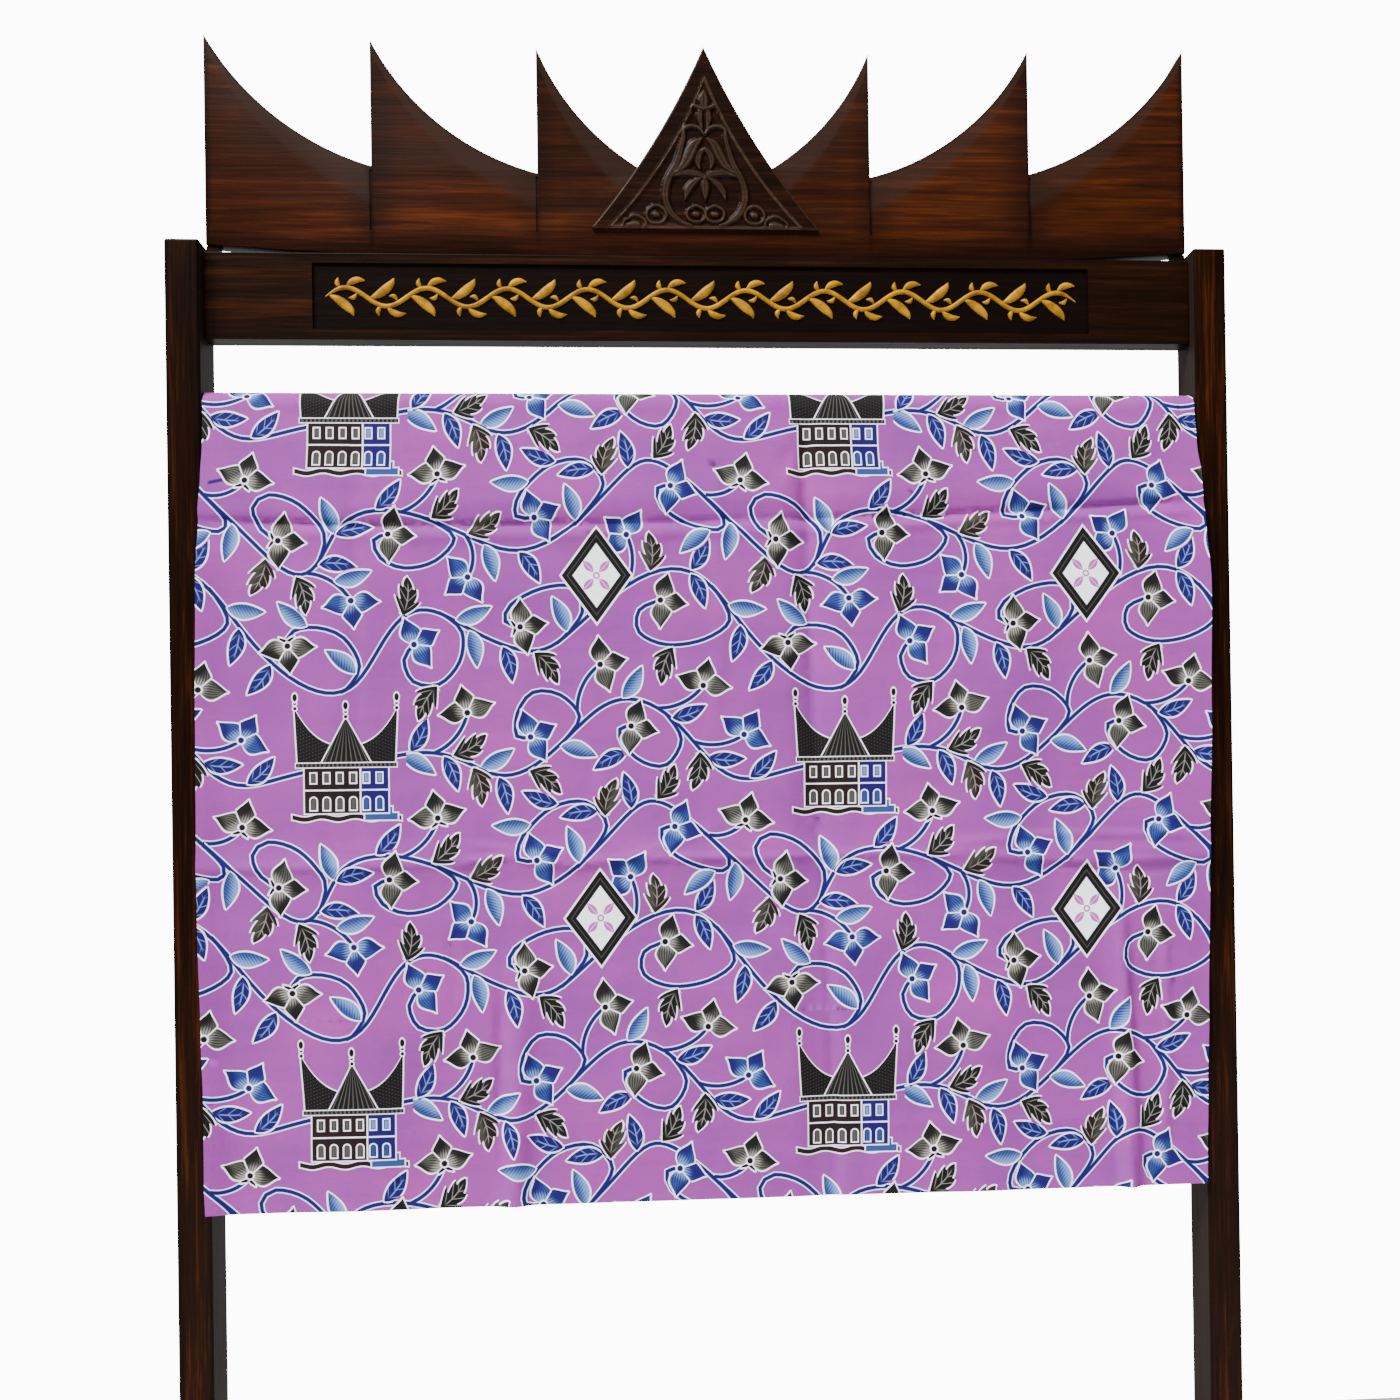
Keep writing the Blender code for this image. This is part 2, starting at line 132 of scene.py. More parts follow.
# Fine wrinkles on the flat cloth: half width, lift and the (across, along) places that each one runs through
WRINKLES = (
    (0.006, -0.004, (-0.575, 0.768), (-0.35, 0.762), (-0.1, 0.764), (0.06, 0.768)),
    (0.006, -0.0042, (0.06, 0.768), (0.28, 0.774), (0.44, 0.782), (0.575, 0.79)),
    (0.011, 0.0022, (-0.575, 0.756), (-0.3, 0.75), (0.06, 0.755), (0.3, 0.762)),
    (0.008, 0.0022, (0.2, 0.76), (0.42, 0.769), (0.575, 0.776)),
    (0.0075, 0.002, (-0.575, 0.38), (-0.36, 0.382), (-0.27, 0.388)),
    (0.007, 0.003, (-0.3, 0.376), (-0.24, 0.391), (-0.17, 0.38), (-0.08, 0.386), (0.06, 0.384)),
    (0.006, 0.002, (-0.27, 0.402), (-0.22, 0.398), (-0.15, 0.388)),
    (0.008, 0.0017, (-0.1, 0.388), (-0.04, 0.404), (0, 0.418)),
    (0.0075, 0.0023, (0.06, 0.384), (0.16, 0.387), (0.28, 0.384)),
    (0.0075, 0.0024, (0.28, 0.398), (0.4, 0.405), (0.575, 0.402)),
    (0.0075, 0.0026, (0.3, 0.384), (0.42, 0.374), (0.575, 0.378)),
    (0.007, -0.0018, (0.38, 0.372), (0.48, 0.362), (0.575, 0.366)),
    (0.012, -0.0055, (0.118, 0.9), (0.108, 0.82), (0.114, 0.74)),
    (0.009, -0.003, (0.108, 0.74), (0.112, 0.6), (0.118, 0.39)),
    (0.0095, -0.0032, (0.122, 0.39), (0.13, 0.2), (0.134, 0)),
    (0.013, -0.0018, (0.118, 0.905), (0.09, 0.84), (0.06, 0.8)),
    (0.013, 0.0016, (0.112, 0.905), (0.15, 0.86), (0.18, 0.83)),
    (0.008, -0.0024, (-0.3, 0.3), (-0.292, 0.23)),
    (0.011, -0.004, (-0.244, 0.24), (-0.246, 0.1), (-0.24, 0)),
    (0.009, 0.0031, (0.47, 0.3), (0.482, 0.15), (0.494, 0.01)),
    (0.009, 0.0025, (0.52, 0.3), (0.526, 0.16), (0.522, 0.03)),
    (0.009, -0.001, (-0.575, 0.885), (-0.2, 0.887), (0.05, 0.883), (0.575, 0.889)),
    (0.009, 0.0009, (-0.575, 0.078), (0, 0.08), (0.575, 0.076)),
    (0.011, 0.0015, (0, 0.926), (0.01, 0.7), (0, 0.5)),
    (0.012, -0.0018, (-0.405, 0.87), (-0.4, 0.6), (-0.404, 0.4)),
    (0.011, 0.0009, (-0.15, 0.6), (-0.12, 0.52), (-0.135, 0.43)),
    (0.012, -0.0009, (0.3, 0.64), (0.33, 0.54), (0.318, 0.43)),
    (0.009, 0.0008, (-0.48, 0.33), (-0.3, 0.318), (-0.12, 0.326)),
    (0.012, 0.0014, (-0.405, 1.1), (-0.4, 1.4), (-0.404, 1.78)),
    (0.012, -0.0014, (0, 1), (0.004, 1.4), (0, 1.78)),
    (0.012, 0.0014, (0.404, 1), (0.4, 1.4), (0.402, 1.78)),
    (0.008, 0.0024, (-0.575, 1.157), (0, 1.152), (0.575, 1.158)),
    (0.008, -0.0024, (-0.575, 1.541), (0, 1.538), (0.575, 1.543)),
)
RIPPLE = 0.0007
HEM_WIDTH = 0.006
HEM_LIFT = 0.0005

# The sheet's mesh: its pitch, and closer stops as (place, reach, pitch)
SHEET_PITCH = 0.0095
FINE_COLUMNS = ((0.118, 0.030, 0.005), (-0.243, 0.024, 0.005), (0.484, 0.020, 0.004), (0.524, 0.012, 0.004))
FINE_ROWS = (
    (0.385, 0.034, 0.0034), (0.770, 0.030, 0.0032), (FRONT_FALL, 0.040, 0.0045),
    (1.155, 0.020, 0.0050), (1.540, 0.020, 0.0050),
)
MOTIF_ROOM = 0.0032

# Print: one repeat, its stems, curls and stalks, and the flowers and leaves on them
TILE_WIDE = 0.560
TILE_HIGH = 0.385
TILE_ACROSS = -0.691
TILE_ALONG = -0.0655
TILE_COLUMNS = range(-1, 4)
TILE_ROWS = range(-1, 6)
STEM_PHASES = (0.0, 0.5, -0.4)
STEM_ROWS = len(STEM_PHASES)
STEM_SWING = 0.036
STEM_POINTS = 64
LOBES = 4
CURL_START = (0.028, 0.040)
CURL_TURN = 222.0
CURL_RADIUS = 0.053
CURL_MARGIN = 0.004
CURL_END_ROOM = 0.028
CURL_HIDDEN = 7
CURL_LEAST = 8
STEP = 0.009
HEAD_TURN = 0.5
HEADS_APART = 0.070
STALKS = ((6, 0.16), (5, 0.24), (4, 0.30))
STALK_TURN = 0.6
STALK_STEP = 0.010
STALK_TONES = 20
STALK_ROOM = 0.005
HEAD_AWAY = 0.012
HEAD_FREE = 0.029
HEAD_ROOM = 0.027
FLOWER_ROOM = ((0.0, 0.013, 0.0250), (1.38, 0.028, 0.0085), (-1.38, 0.028, 0.0085))
PETAL_SPREAD = 1.22
PETAL_BEND = 0.6
LEAF_ORDER = ("leaf", "toothed", "leaf", "toothed", "toothed", "leaf")
LEAF_REACH = ((0.30, 0.36), (0.55, 0.52), (0.80, 0.42), (1.0, 0.28))
LEAF_PITCH = 4
LEAF_ANGLES = (0.95, 0.65, 1.25)
VINE_WIDE = 0.0072
LEAF = {"long": 0.0410, "wide": 0.0165}
TOOTHED = {"long": 0.0430, "wide": 0.0260}
PETAL = {"long": 0.0315, "wide": 0.0230}
CALYX = {"long": 0.0135, "wide": 0.0075, "lean": 2.45}
DYE_STROKE = {"from": (-0.568, 0.809), "to": (-0.532, 0.817)}
HOUSE = {"wide": 0.132, "high": 0.165, "x": 0.280, "y": 0.1925}
LOZENGE = {"wide": 0.084, "high": 0.114, "x": 0.0, "y": 0.0}
PRINT_ORDER = ("house", "lozenge", "flower", "toothed", "leaf")
OUTLINE = 0.0020
SOFT = 0.0004
RIM = OUTLINE + 2 * SOFT
NO_VINE = 9.0
LONGEST_SIDE = 0.0095

# Light of the studio: glow of the surround from three sides and as the camera sees it, and the lamps
FRONT_GLOW = 0.10
TOP_GLOW = 0.55
BACK_GLOW = 1.00
SURROUND = 12.0
WIDE_LIGHT = 7.4
WIDE_FACING = (0.74, 0.62, -1.12)
AREA_LIGHTS = (
    ("key light", 170.0, 1.0, (-1.1, -2.3, 4.3), (0.0, 0.0, 1.1)),
    ("fill light", 8.0, 1.6, (3.6, -2.0, 2.6), (0.0, 0.0, 1.0)),
)

# Floor, which ends behind the stand
FLOOR_HALF = (4.0, 2.75)
FLOOR_MIDDLE = -2.2

# Camera, fitted to the view of the stand
CAMERA_PLACE = (-0.0801, -1.9055, 0.9206)
CAMERA_YAW = math.radians(4.163)
CAMERA_PITCH = math.radians(0.226)
CAMERA_ROLL = math.radians(-0.851)
CAMERA_LENS = 42.48
CAMERA_SHIFT = (-0.0459, 0.0704)


def paint(red, green, blue):
    """A colour named by its 0 to 255 screen values, as linear light."""
    def linear(value):
        share = value / 255.0
        return share / 12.92 if share <= 0.04045 else ((share + 0.055) / 1.055) ** 2.4
    return (linear(red), linear(green), linear(blue), 1.0)


class Value:
    """A socket in a tree of nodes. Arithmetic on values adds Math nodes."""

    def __init__(self, nodes, socket):
        self.nodes = nodes
        self.socket = socket

    def math(self, operation, *others):
        return self.nodes.node("ShaderNodeMath", {"operation": operation}, [self, *others])

    def __add__(self, other):
        return self.math("ADD", other)

    __radd__ = __add__

    def __sub__(self, other):
        return self.math("SUBTRACT", other)

    def __rsub__(self, other):
        return self.nodes.node("ShaderNodeMath", {"operation": "SUBTRACT"}, [other, self])

    def __mul__(self, other):
        return self.math("MULTIPLY", other)

    __rmul__ = __mul__

    def __truediv__(self, other):
        return self.math("DIVIDE", other)

    def __pow__(self, other):
        return self.math("POWER", other)

    def __abs__(self):
        return self.math("ABSOLUTE")

    def least(self, other):
        return self.math("MINIMUM", other)

    def most(self, other):
        return self.math("MAXIMUM", other)

    def sine(self):
        return self.math("SINE")

    def part(self):
        """What is left above the whole number."""
        return self.math("FRACT")

    def above(self, edge):
        return self.math("GREATER_THAN", edge)

    def held(self):
        """The value, kept between 0 and 1."""
        return self.most(0.0).least(1.0)

    def repeat(self):
        """How far the value is from the middle between two whole numbers."""
        return abs(self.part() - 0.5)

    def line(self, half, rim):
        """1 within half of 0, and fading out over a rim beyond it."""
        return 1 - (abs(self) - half).soft(0.0, rim)

    def soft(self, low, high):
        """0 below low and 1 above high, with a smooth step between."""
        settings = {"interpolation_type": "SMOOTHSTEP"}
        return self.nodes.node("ShaderNodeMapRange", settings, {0: self, 1: low, 2: high, 3: 0.0, 4: 1.0})


class Nodes:
    """A tree of nodes that is built from expressions."""

    def __init__(self, tree):
        self.tree = tree

    def node(self, kind, settings=None, values=(), output=0):
        """One node: its settings come first, and then its sockets' values or links."""
        made = self.tree.nodes.new(kind)
        for name, setting in (settings or {}).items():
            if name == "stops":
                self.set_stops(made.color_ramp, setting)
            else:
                setattr(made, name, setting)
        pairs = values.items() if isinstance(values, dict) else enumerate(values)
        for key, value in pairs:
            self.feed(made.inputs[key], value)
        return Value(self, made.outputs[output])

    @staticmethod
    def set_stops(ramp, stops):
        while len(ramp.elements) < len(stops):
            ramp.elements.new(0.5)
        for element, (place, colour) in zip(ramp.elements, stops):
            element.position = place
            element.color = colour

    def feed(self, socket, value):
        if isinstance(value, Value):
            self.tree.links.new(value.socket, socket)
        else:
            socket.default_value = value

    def parts(self, vector):
        """The three numbers of a vector."""
        first = self.node("ShaderNodeSeparateXYZ", {}, [vector])
        return [first] + [Value(self, output) for output in list(first.socket.node.outputs)[1:]]


class Surface(Nodes):
    """A material that is built from expressions."""

    def __init__(self, name, **constants):
        self.material = bpy.data.materials.new(name)
        self.material.use_nodes = True
        super().__init__(self.material.node_tree)
        self.shader = self.tree.nodes["Principled BSDF"]
        for socket, value in constants.items():
            self.shader.inputs[socket.replace("_", " ")].default_value = value

    def drive(self, name, value):
        """Lead a value to the shader's own socket."""
        self.tree.links.new(value.socket, self.shader.inputs[name])

    def attribute(self, name):
        """A vector that is stored on the mesh."""
        return self.node("ShaderNodeAttribute", {"attribute_name": name}, output=1)

    def place(self):
        """The place on the piece, in metres from its own origin."""
        return self.node("ShaderNodeTexCoord", output=3)

    def stretched(self, vector, scale):
        """A vector with each of its three numbers scaled."""
        return self.node("ShaderNodeVectorMath", {"operation": "MULTIPLY"}, [vector, scale])

    def noise(self, vector, scale, detail=3.0, roughness=0.5, distortion=0.0):
        values = {"Vector": vector, "Scale": scale, "Detail": detail, "Roughness": roughness,
                  "Distortion": distortion}
        return self.node("ShaderNodeTexNoise", {}, values)

    def mix(self, share, first, second):
        """The first colour, or the second where share is 1."""
        return self.node("ShaderNodeMix", {"data_type": "RGBA"}, {0: share, 6: first, 7: second}, 2)

    def times(self, colour, share):
        """A colour made darker or lighter by a number."""
        grey = self.node("ShaderNodeCombineColor", {}, [share, share, share])
        settings = {"data_type": "RGBA", "blend_type": "MULTIPLY"}
        return self.node("ShaderNodeMix", settings, {0: 1.0, 6: colour, 7: grey}, 2)

    def bump(self, height, distance, strength):
        """Fine relief from a height, through the shader's normal."""
        values = {"Height": height, "Distance": distance, "Strength": strength}
        self.drive("Normal", self.node("ShaderNodeBump", {}, values))


def eased(share):
    """A share from 0 to 1 with soft ends."""
    share = min(max(share, 0.0), 1.0)
    return share * share * (3.0 - 2.0 * share)


def hump(distance, width):
    """A soft hump, 1 in its middle and 0 from half its width on."""
    share = abs(distance) / (width / 2)
    return 0.0 if share >= 1.0 else 0.5 + 0.5 * math.cos(math.pi * share)


def crease(distance, width):
    """A crease with a sharper middle than a hump."""
    share = abs(distance) / (width / 2)
    return 0.0 if share >= 1.0 else (1.0 - share) ** 2 * (1.0 + share)


def edge_beyond(below, column):
    """How far a front edge hangs past the inner face of its post."""
    for upper, lower in zip(EDGES, EDGES[1:]):
        if below <= lower[0]:
            share = eased((below - upper[0]) / (lower[0] - upper[0]))
            return upper[column] + share * (lower[column] - upper[column])
    return EDGES[-1][column]


def crease_lift(across, along):
    """The lift of the creases that run from side to side, at a place on the flat cloth."""
    total = 0.0
    for row, half, lift, slant in CREASES:
        place = row * CREASE_PITCH + slant * across / (CLOTH_WIDTH / 2)
        total += lift * crease(along - place, 2 * half)
    return total


def front_lift(across, along, below):
    """How far the front fall stands out from the upright plane under the bar."""
    free = eased(below / 0.05)
    lift = BOW_NEAR * eased(below / 0.04) + BOW_FRONT * eased((below - 0.03) / 0.10)
    for top, foot, start, end, width, lift_top, lift_foot in FOLDS:
        share = min(max((below - start) / (end - start), 0.0), 1.0)
        place = top + share * (foot - top)
        height = lift_top + share * (lift_foot - lift_top)
        lift += free * eased((below - start) / 0.10) * height * hump(across - place, width)
    return lift + free * crease_lift(across, along)


def back_lift(across, along, below):
    """How far the back fall stands out behind the bar, in soft upright waves."""
    free = eased(below / 0.08)
    wave = BACK_WAVE * math.cos(2.0 * math.pi * across / BACK_WAVE_LENGTH) * below
    return BOW_BACK * free + free * (wave + crease_lift(across, along))


def drape(across, along, extra):
    """Where a point of the flat cloth hangs, with an extra lift from its fine wrinkles."""
    past_top = FRONT_FALL - along
    below = abs(past_top) - QUARTER_TURN
    in_front = past_top > 0.0
    beyond = edge_beyond(max(below, 0.0), 1 if across < 0.0 else 2) if in_front else BACK_EDGE
    x = across * (CLEAR_WIDTH / 2 + beyond) / (CLOTH_WIDTH / 2)
    if below <= 0.0:
        turn = past_top / DRAPE_RADIUS
        return (x, BAR_Y - DRAPE_RADIUS * math.sin(turn), BAR_Z + DRAPE_RADIUS * math.cos(turn))
    extra *= eased(below / 0.05)
    if in_front:
        return (x, BAR_Y - DRAPE_RADIUS - front_lift(across, along, below) - extra, BAR_Z - below)
    return (x, BAR_Y + DRAPE_RADIUS + back_lift(across, along, below) + extra, BAR_Z - below)


def stops(start, end, pitch, special):
    """Even stops from start to end, with closer ones about each special place."""
    count = round((end - start) / pitch)
    found = [start + (end - start) * number / count for number in range(count + 1)]
    for place, reach, fine in special:
        steps = round(2 * reach / fine)
        found = [stop for stop in found if abs(stop - place) > reach + fine / 2 or stop in (start, end)]
        found += [place - reach + 2 * reach * number / steps for number in range(steps + 1)]
    return sorted(stop for stop in found if start <= stop <= end)


def smooth_path(points, step):
    """A smooth path through points, with even short steps. Points may carry widths too."""
    path = []
    ends = [points[0]] + list(points) + [points[-1]]
    for a, b, c, d in zip(ends, ends[1:], ends[2:], ends[3:]):
        pieces = max(2, round(math.dist(b[:2], c[:2]) / step))
        for number in range(pieces):
            t = number / pieces
            path.append(tuple(
                0.5 * (2 * b[i] + (c[i] - a[i]) * t + (2 * a[i] - 5 * b[i] + 4 * c[i] - d[i]) * t * t
                       + (3 * b[i] - a[i] - 3 * c[i] + d[i]) * t * t * t)
                for i in range(len(b))))
    path.append(tuple(points[-1]))
    return path


def to_path(points, path):
    """For each point, the distance to a path and the share of the way along it."""
    ends = np.array([place[:2] for place in path])
    starts, steps = ends[:-1], np.diff(ends, axis=0)
    lengths = np.maximum((steps ** 2).sum(1), 1e-12)
    runs = np.concatenate(([0.0], np.cumsum(np.sqrt(lengths))))
    best = np.full(len(points), 1e9)
    share = np.zeros(len(points))
    for number, (start, step, length) in enumerate(zip(starts, steps, lengths)):
        t = np.clip(((points - start) @ step) / length, 0.0, 1.0)
        away = np.hypot(*(points - start - t[:, None] * step).T)
        nearer = away < best
        best[nearer] = away[nearer]
        share[nearer] = (runs[number] + t[nearer] * math.sqrt(length)) / runs[-1]
    return best, share


def wrinkle_lift(flat):
    """The lift of the fine wrinkles, the hems and the faint ripple, at places on the flat cloth."""
    across, along = flat[:, 0], flat[:, 1]
    total = RIPPLE * np.sin(21.0 * across + 3.0 * np.sin(9.0 * along)) * np.sin(13.0 * along + 2.0 * across)
    total += 0.4 * RIPPLE * np.sin(67.0 * across + 5.0 * np.sin(17.0 * along) + 31.0 * along)
    for half, lift, *run in WRINKLES:
        away, share = to_path(flat, smooth_path(run, 0.02))
        ends = np.minimum(np.minimum(share, 1.0 - share) / 0.12, 1.0)
        depth = np.clip(1.0 - away / half, 0.0, 1.0)
        total += lift * depth ** 2 * (3.0 - 2.0 * depth) * (0.35 + 0.65 * ends)
    edge = np.minimum(CLOTH_WIDTH / 2 - np.abs(across), np.minimum(along, CLOTH_LENGTH - along))
    return total + HEM_LIFT * np.clip((HEM_WIDTH - edge) / 0.002 + 0.5, 0.0, 1.0)


def warped(x, y):
    """Bend the even rows of stems, in a way that repeats with the tile."""
    turn_x = 2.0 * math.pi * x / TILE_WIDE
    turn_y = 2.0 * math.pi * y / TILE_HIGH
    shift_x = 0.020 * math.sin(turn_y + turn_x) + 0.008 * math.sin(2.0 * turn_y + 0.7)
    shift_y = 0.030 * math.sin(turn_x + 1.3) + 0.012 * math.sin(2.0 * turn_x + turn_y)
    return (x + shift_x, y + shift_y)


def stem_point(row, x):
    """A point of a row's main stem."""
    swing = STEM_SWING * math.sin(math.pi * LOBES * x / TILE_WIDE + STEM_PHASES[row])
    return warped(x, (row + 0.5) * TILE_HIGH / STEM_ROWS + swing)


def curls():
    """The curls that leave each lobe of a stem and end in its middle."""
    found = []
    for row, phase in enumerate(STEM_PHASES):
        for lobe in range(LOBES):
            side = 1 if lobe % 2 == 0 else -1
            middle = ((lobe + 0.5) - phase / math.pi) * TILE_WIDE / LOBES
            base = (row + 0.5) * TILE_HIGH / STEM_ROWS
            points = [stem_point(row, middle + start) for start in CURL_START]
            for number in range(6):
                share = number / 5
                angle = math.radians(2.0 - CURL_TURN * share)
                radius = CURL_RADIUS - 0.026 * share - 0.014 * share ** 4
                points.append(warped(
                    middle + 0.004 + radius * 1.05 * math.cos(angle),
                    base - side * 0.004 + side * radius * 0.86 * math.sin(angle)))
            found.append(smooth_path(points, STEP)[1:])
    return found


def wrapped(dx, dy):
    """A difference of places on the repeat, taken the short way round."""
    dx = (dx + TILE_WIDE / 2) % TILE_WIDE - TILE_WIDE / 2
    dy = (dy + TILE_HIGH / 2) % TILE_HIGH - TILE_HIGH / 2
    return (dx, dy)


def in_reserved(x, y, margin):
    """Whether a place is on the house or a lozenge, or within a margin of them."""
    dx, dy = wrapped(x - HOUSE["x"], y - HOUSE["y"])
    if abs(dx) < HOUSE["wide"] / 2 + margin and abs(dy) < HOUSE["high"] / 2 + margin:
        return True
    dx, dy = wrapped(x - LOZENGE["x"], y - LOZENGE["y"])
    return abs(dx) / (LOZENGE["wide"] / 2 + margin) + abs(dy) / (LOZENGE["high"] / 2 + margin) < 1.0


class Room:
    """Keeps the circles that are taken, so that no motif lies on another."""

    def __init__(self):
        self.taken = []

    def free(self, circles, owner=None):
        for x, y, radius in circles:
            if in_reserved(x, y, radius):
                return False
            for tx, ty, t_radius, t_owner in self.taken:
                if t_owner is not None and t_owner == owner:
                    continue
                dx, dy = wrapped(x - tx, y - ty)
                if dx * dx + dy * dy < (radius + t_radius) ** 2:
                    return False
        return True

    def take(self, circles, owner=None):
        self.taken += [(x, y, radius, owner) for x, y, radius in circles]


def turned(place, angle, along, aside=0.0):
    """A place some way along and to the left of a heading."""
    c, s = math.cos(angle), math.sin(angle)
    return (place[0] + c * along - s * aside, place[1] + s * along + c * aside)


def bends_left(path):
    """Whether a path turns to its left at its end."""
    (x0, y0), (x1, y1), (x2, y2) = path[-7], path[-4], path[-1]
    return (x1 - x0) * (y2 - y1) - (y1 - y0) * (x2 - x1) > 0.0


def heading_at(path, index):
    """The direction of a path at one of its inner points."""
    (x0, y0), (x1, y1) = path[index - 1], path[index + 1]
    return math.atan2(y1 - y0, x1 - x0)


def flower_on(path, number, room):
    """A flower at the end of a curl or stalk. Its tone is 0 for grey, 1 for blue, 2 for grey with a calyx."""
    heading = heading_at(path, -2) + HEAD_TURN * (1.0 if bends_left(path) else -1.0)
    room.take([(*turned(path[-1], heading + turn, away), radius) for turn, away, radius in FLOWER_ROOM])
    tone = 1.0 if (number * 7) % 5 < 2 else 2.0 * (number % 2)
    return {"kind": "flower", "at": path[-1], "heading": heading, "side": 1, "tone": tone}


def stalk_at(path, index, side, steps, bow):
    """A stalk that leaves a path on one side and bows on, and the place of its flower's head."""
    points = [path[index]]
    angle = heading_at(path, index) + side * STALK_TURN
    for step in range(steps):
        points.append(turned(points[-1], angle, STALK_STEP))
        angle += side * bow
    return points, turned(points[-1], angle, HEAD_AWAY)


def stalks(vines, sprigs, room):
    """Short stalks that carry a flower into the places that the vines leave open."""
    found = []
    heads = [path[-1] for path in sprigs]
    starts = [(path, index, side) for path in vines for index in range(4, len(path) - 4) for side in (1, -1)]
    for steps, bow in STALKS:
        for path, index, side in starts:
            points, head = stalk_at(path, index, side, steps, bow)
            if any(math.hypot(*wrapped(head[0] - x, head[1] - y)) < HEADS_APART for x, y in heads):
                continue
            spots = [(*head, HEAD_FREE), (*points[-1], 0.008), (*points[3], 0.006), (*points[2], 0.003)]
            if room.free(spots):
                heads.append(head)
                found.append(smooth_path(points, STEP))
                room.take([(*head, HEAD_ROOM)] + [(x, y, STALK_ROOM) for x, y in found[-1][1:]])
    return found


def leaf_at(path, index, side, turn, angle):
    """A leaf of the order's next kind, with the circles that it takes."""
    kind = LEAF_ORDER[turn % len(LEAF_ORDER)]
    size = LEAF if kind == "leaf" else TOOTHED
    heading = heading_at(path, index) + side * (angle + 0.12 * math.sin(turn * 2.4))
    root = turned(path[index], heading, VINE_WIDE * 0.42)
    reach = [(*turned(root, heading, size["long"] * along), size["wide"] * wide)
             for along, wide in LEAF_REACH]
    leaf = {"kind": kind, "at": root, "heading": heading, "side": side, "tone": float(turn // 2 % 2)}
    return leaf, reach


def leaves_on(vines, room):
    """Leaves along the stems, curls and stalks, on both sides, wherever there is room."""
    leaves = []
    for number, path in enumerate(vines):
        last = {1: -LEAF_PITCH, -1: -LEAF_PITCH}
        for index in range(2, len(path) - 2):
            for side in ((1, -1) if index % 4 < 2 else (-1, 1)):
                if index - last[side] < LEAF_PITCH:
                    continue
                for turn in (len(leaves), len(leaves) + 1):
                    tries = [leaf_at(path, index, side, turn, angle) for angle in LEAF_ANGLES]
                    fitting = [(leaf, reach) for leaf, reach in tries
                               if room.free(reach[1:]) and room.free(reach[:1], owner=number)]
                    if fitting:
                        leaf, reach = fitting[0]
                        room.take(reach)
                        last[side] = index
                        leaves.append(leaf)
                        break
    return leaves


def compose():
    """The repeat: stems and curls, stalks and flowers, and leaves where there is room."""
    stems = [[stem_point(row, TILE_WIDE * number / STEM_POINTS) for number in range(STEM_POINTS + 1)]
             for row in range(STEM_ROWS)]
    sprigs = []
    for path in curls():
        hidden = sum(in_reserved(x, y, CURL_MARGIN) for x, y in path)
        while hidden and len(path) > CURL_LEAST and in_reserved(*path[-1], CURL_END_ROOM):
            path = path[:-1]
        if hidden <= CURL_HIDDEN:
            sprigs.append(path)
    room = Room()
    for number, path in enumerate(stems + sprigs):
        room.take([(x, y, VINE_WIDE / 2) for x, y in path], owner=number)
    flowers = [flower_on(path, number, room) for number, path in enumerate(sprigs)]
    added = stalks(stems + sprigs, sprigs, room)
    flowers += [flower_on(path, number + STALK_TONES, room) for number, path in enumerate(added)]
    leaves = leaves_on(stems + sprigs + added, room)
    return stems, sprigs + added, flowers + leaves


def leaf_half(share):
    """A plain leaf's half width at a share of its length, against its widest."""
    share = min(max(share, 0.0), 1.0)
    return math.sin(math.pi * share ** 0.85) ** 0.9 if 0.0 < share < 1.0 else 0.0


def leaf_bend(share):
    """How far a leaf's middle line bows aside, against its half width."""
    return 1.1 * share * share - 0.5 * share


def leaf_outline(size):
    """A coarse outline about a leaf and its pale rim, as (along, aside) in lengths and half widths."""
    rim = 1.25 * RIM / (size["wide"] / 2)
    tip = RIM / size["long"]

    def edge(side):
        return [(share, leaf_bend(max(share, 0.0)) + side * (leaf_half(share) + rim))
                for share in (-tip * 0.5, 0.12, 0.35, 0.60, 0.82, 1.0)]

    return edge(1) + [(1.0 + 1.8 * tip, leaf_bend(1.0))] + edge(-1)[::-1]


def petal_half(share):
    """A petal's half width at a share of its length, against its widest. The tip is drawn out to a point."""
    return max(math.sin(math.pi * min(max(share, 0.0), 1.0) ** 0.72), 0.0) ** 1.3


def flower_reach(angle):
    """How far a flower reaches from its eye in one direction, in petal lengths."""
    ratio = 2 * PETAL["long"] / PETAL["wide"]
    reach = CALYX["long"] / PETAL["long"] if abs(angle) > 2.0 else 0.25
    for turn in (-1, 0, 1):
        for radius in (0.025 * step for step in range(8, 56)):
            along = radius * math.cos(angle - turn * PETAL_SPREAD)
            aside = radius * math.sin(angle - turn * PETAL_SPREAD) * ratio - turn * PETAL_BEND * along * along
            if 0.0 < along < 1.0 and abs(aside) < petal_half(along) + 0.08:
                reach = max(reach, radius)
    return reach


def flower_outline():
    """A coarse outline about a flower, its calyx and its rim, in petal lengths from its eye."""
    rim = 1.5 * RIM / PETAL["long"]
    points = []
    for angle in (0.2 * number for number in range(-13, 14)):
        reach = max(flower_reach(angle + shift) for shift in (-0.1, 0.0, 0.1)) + rim
        points.append((reach * math.cos(angle), reach * math.sin(angle)))
    return points + [(-0.24, 0.0)]


def counterclockwise(outline):
    """The outline, turned round if it runs clockwise."""
    area = sum(x0 * y1 - x1 * y0 for (x0, y0), (x1, y1) in zip(outline, outline[1:] + outline[:1]))
    return list(outline) if area > 0.0 else list(outline)[::-1]


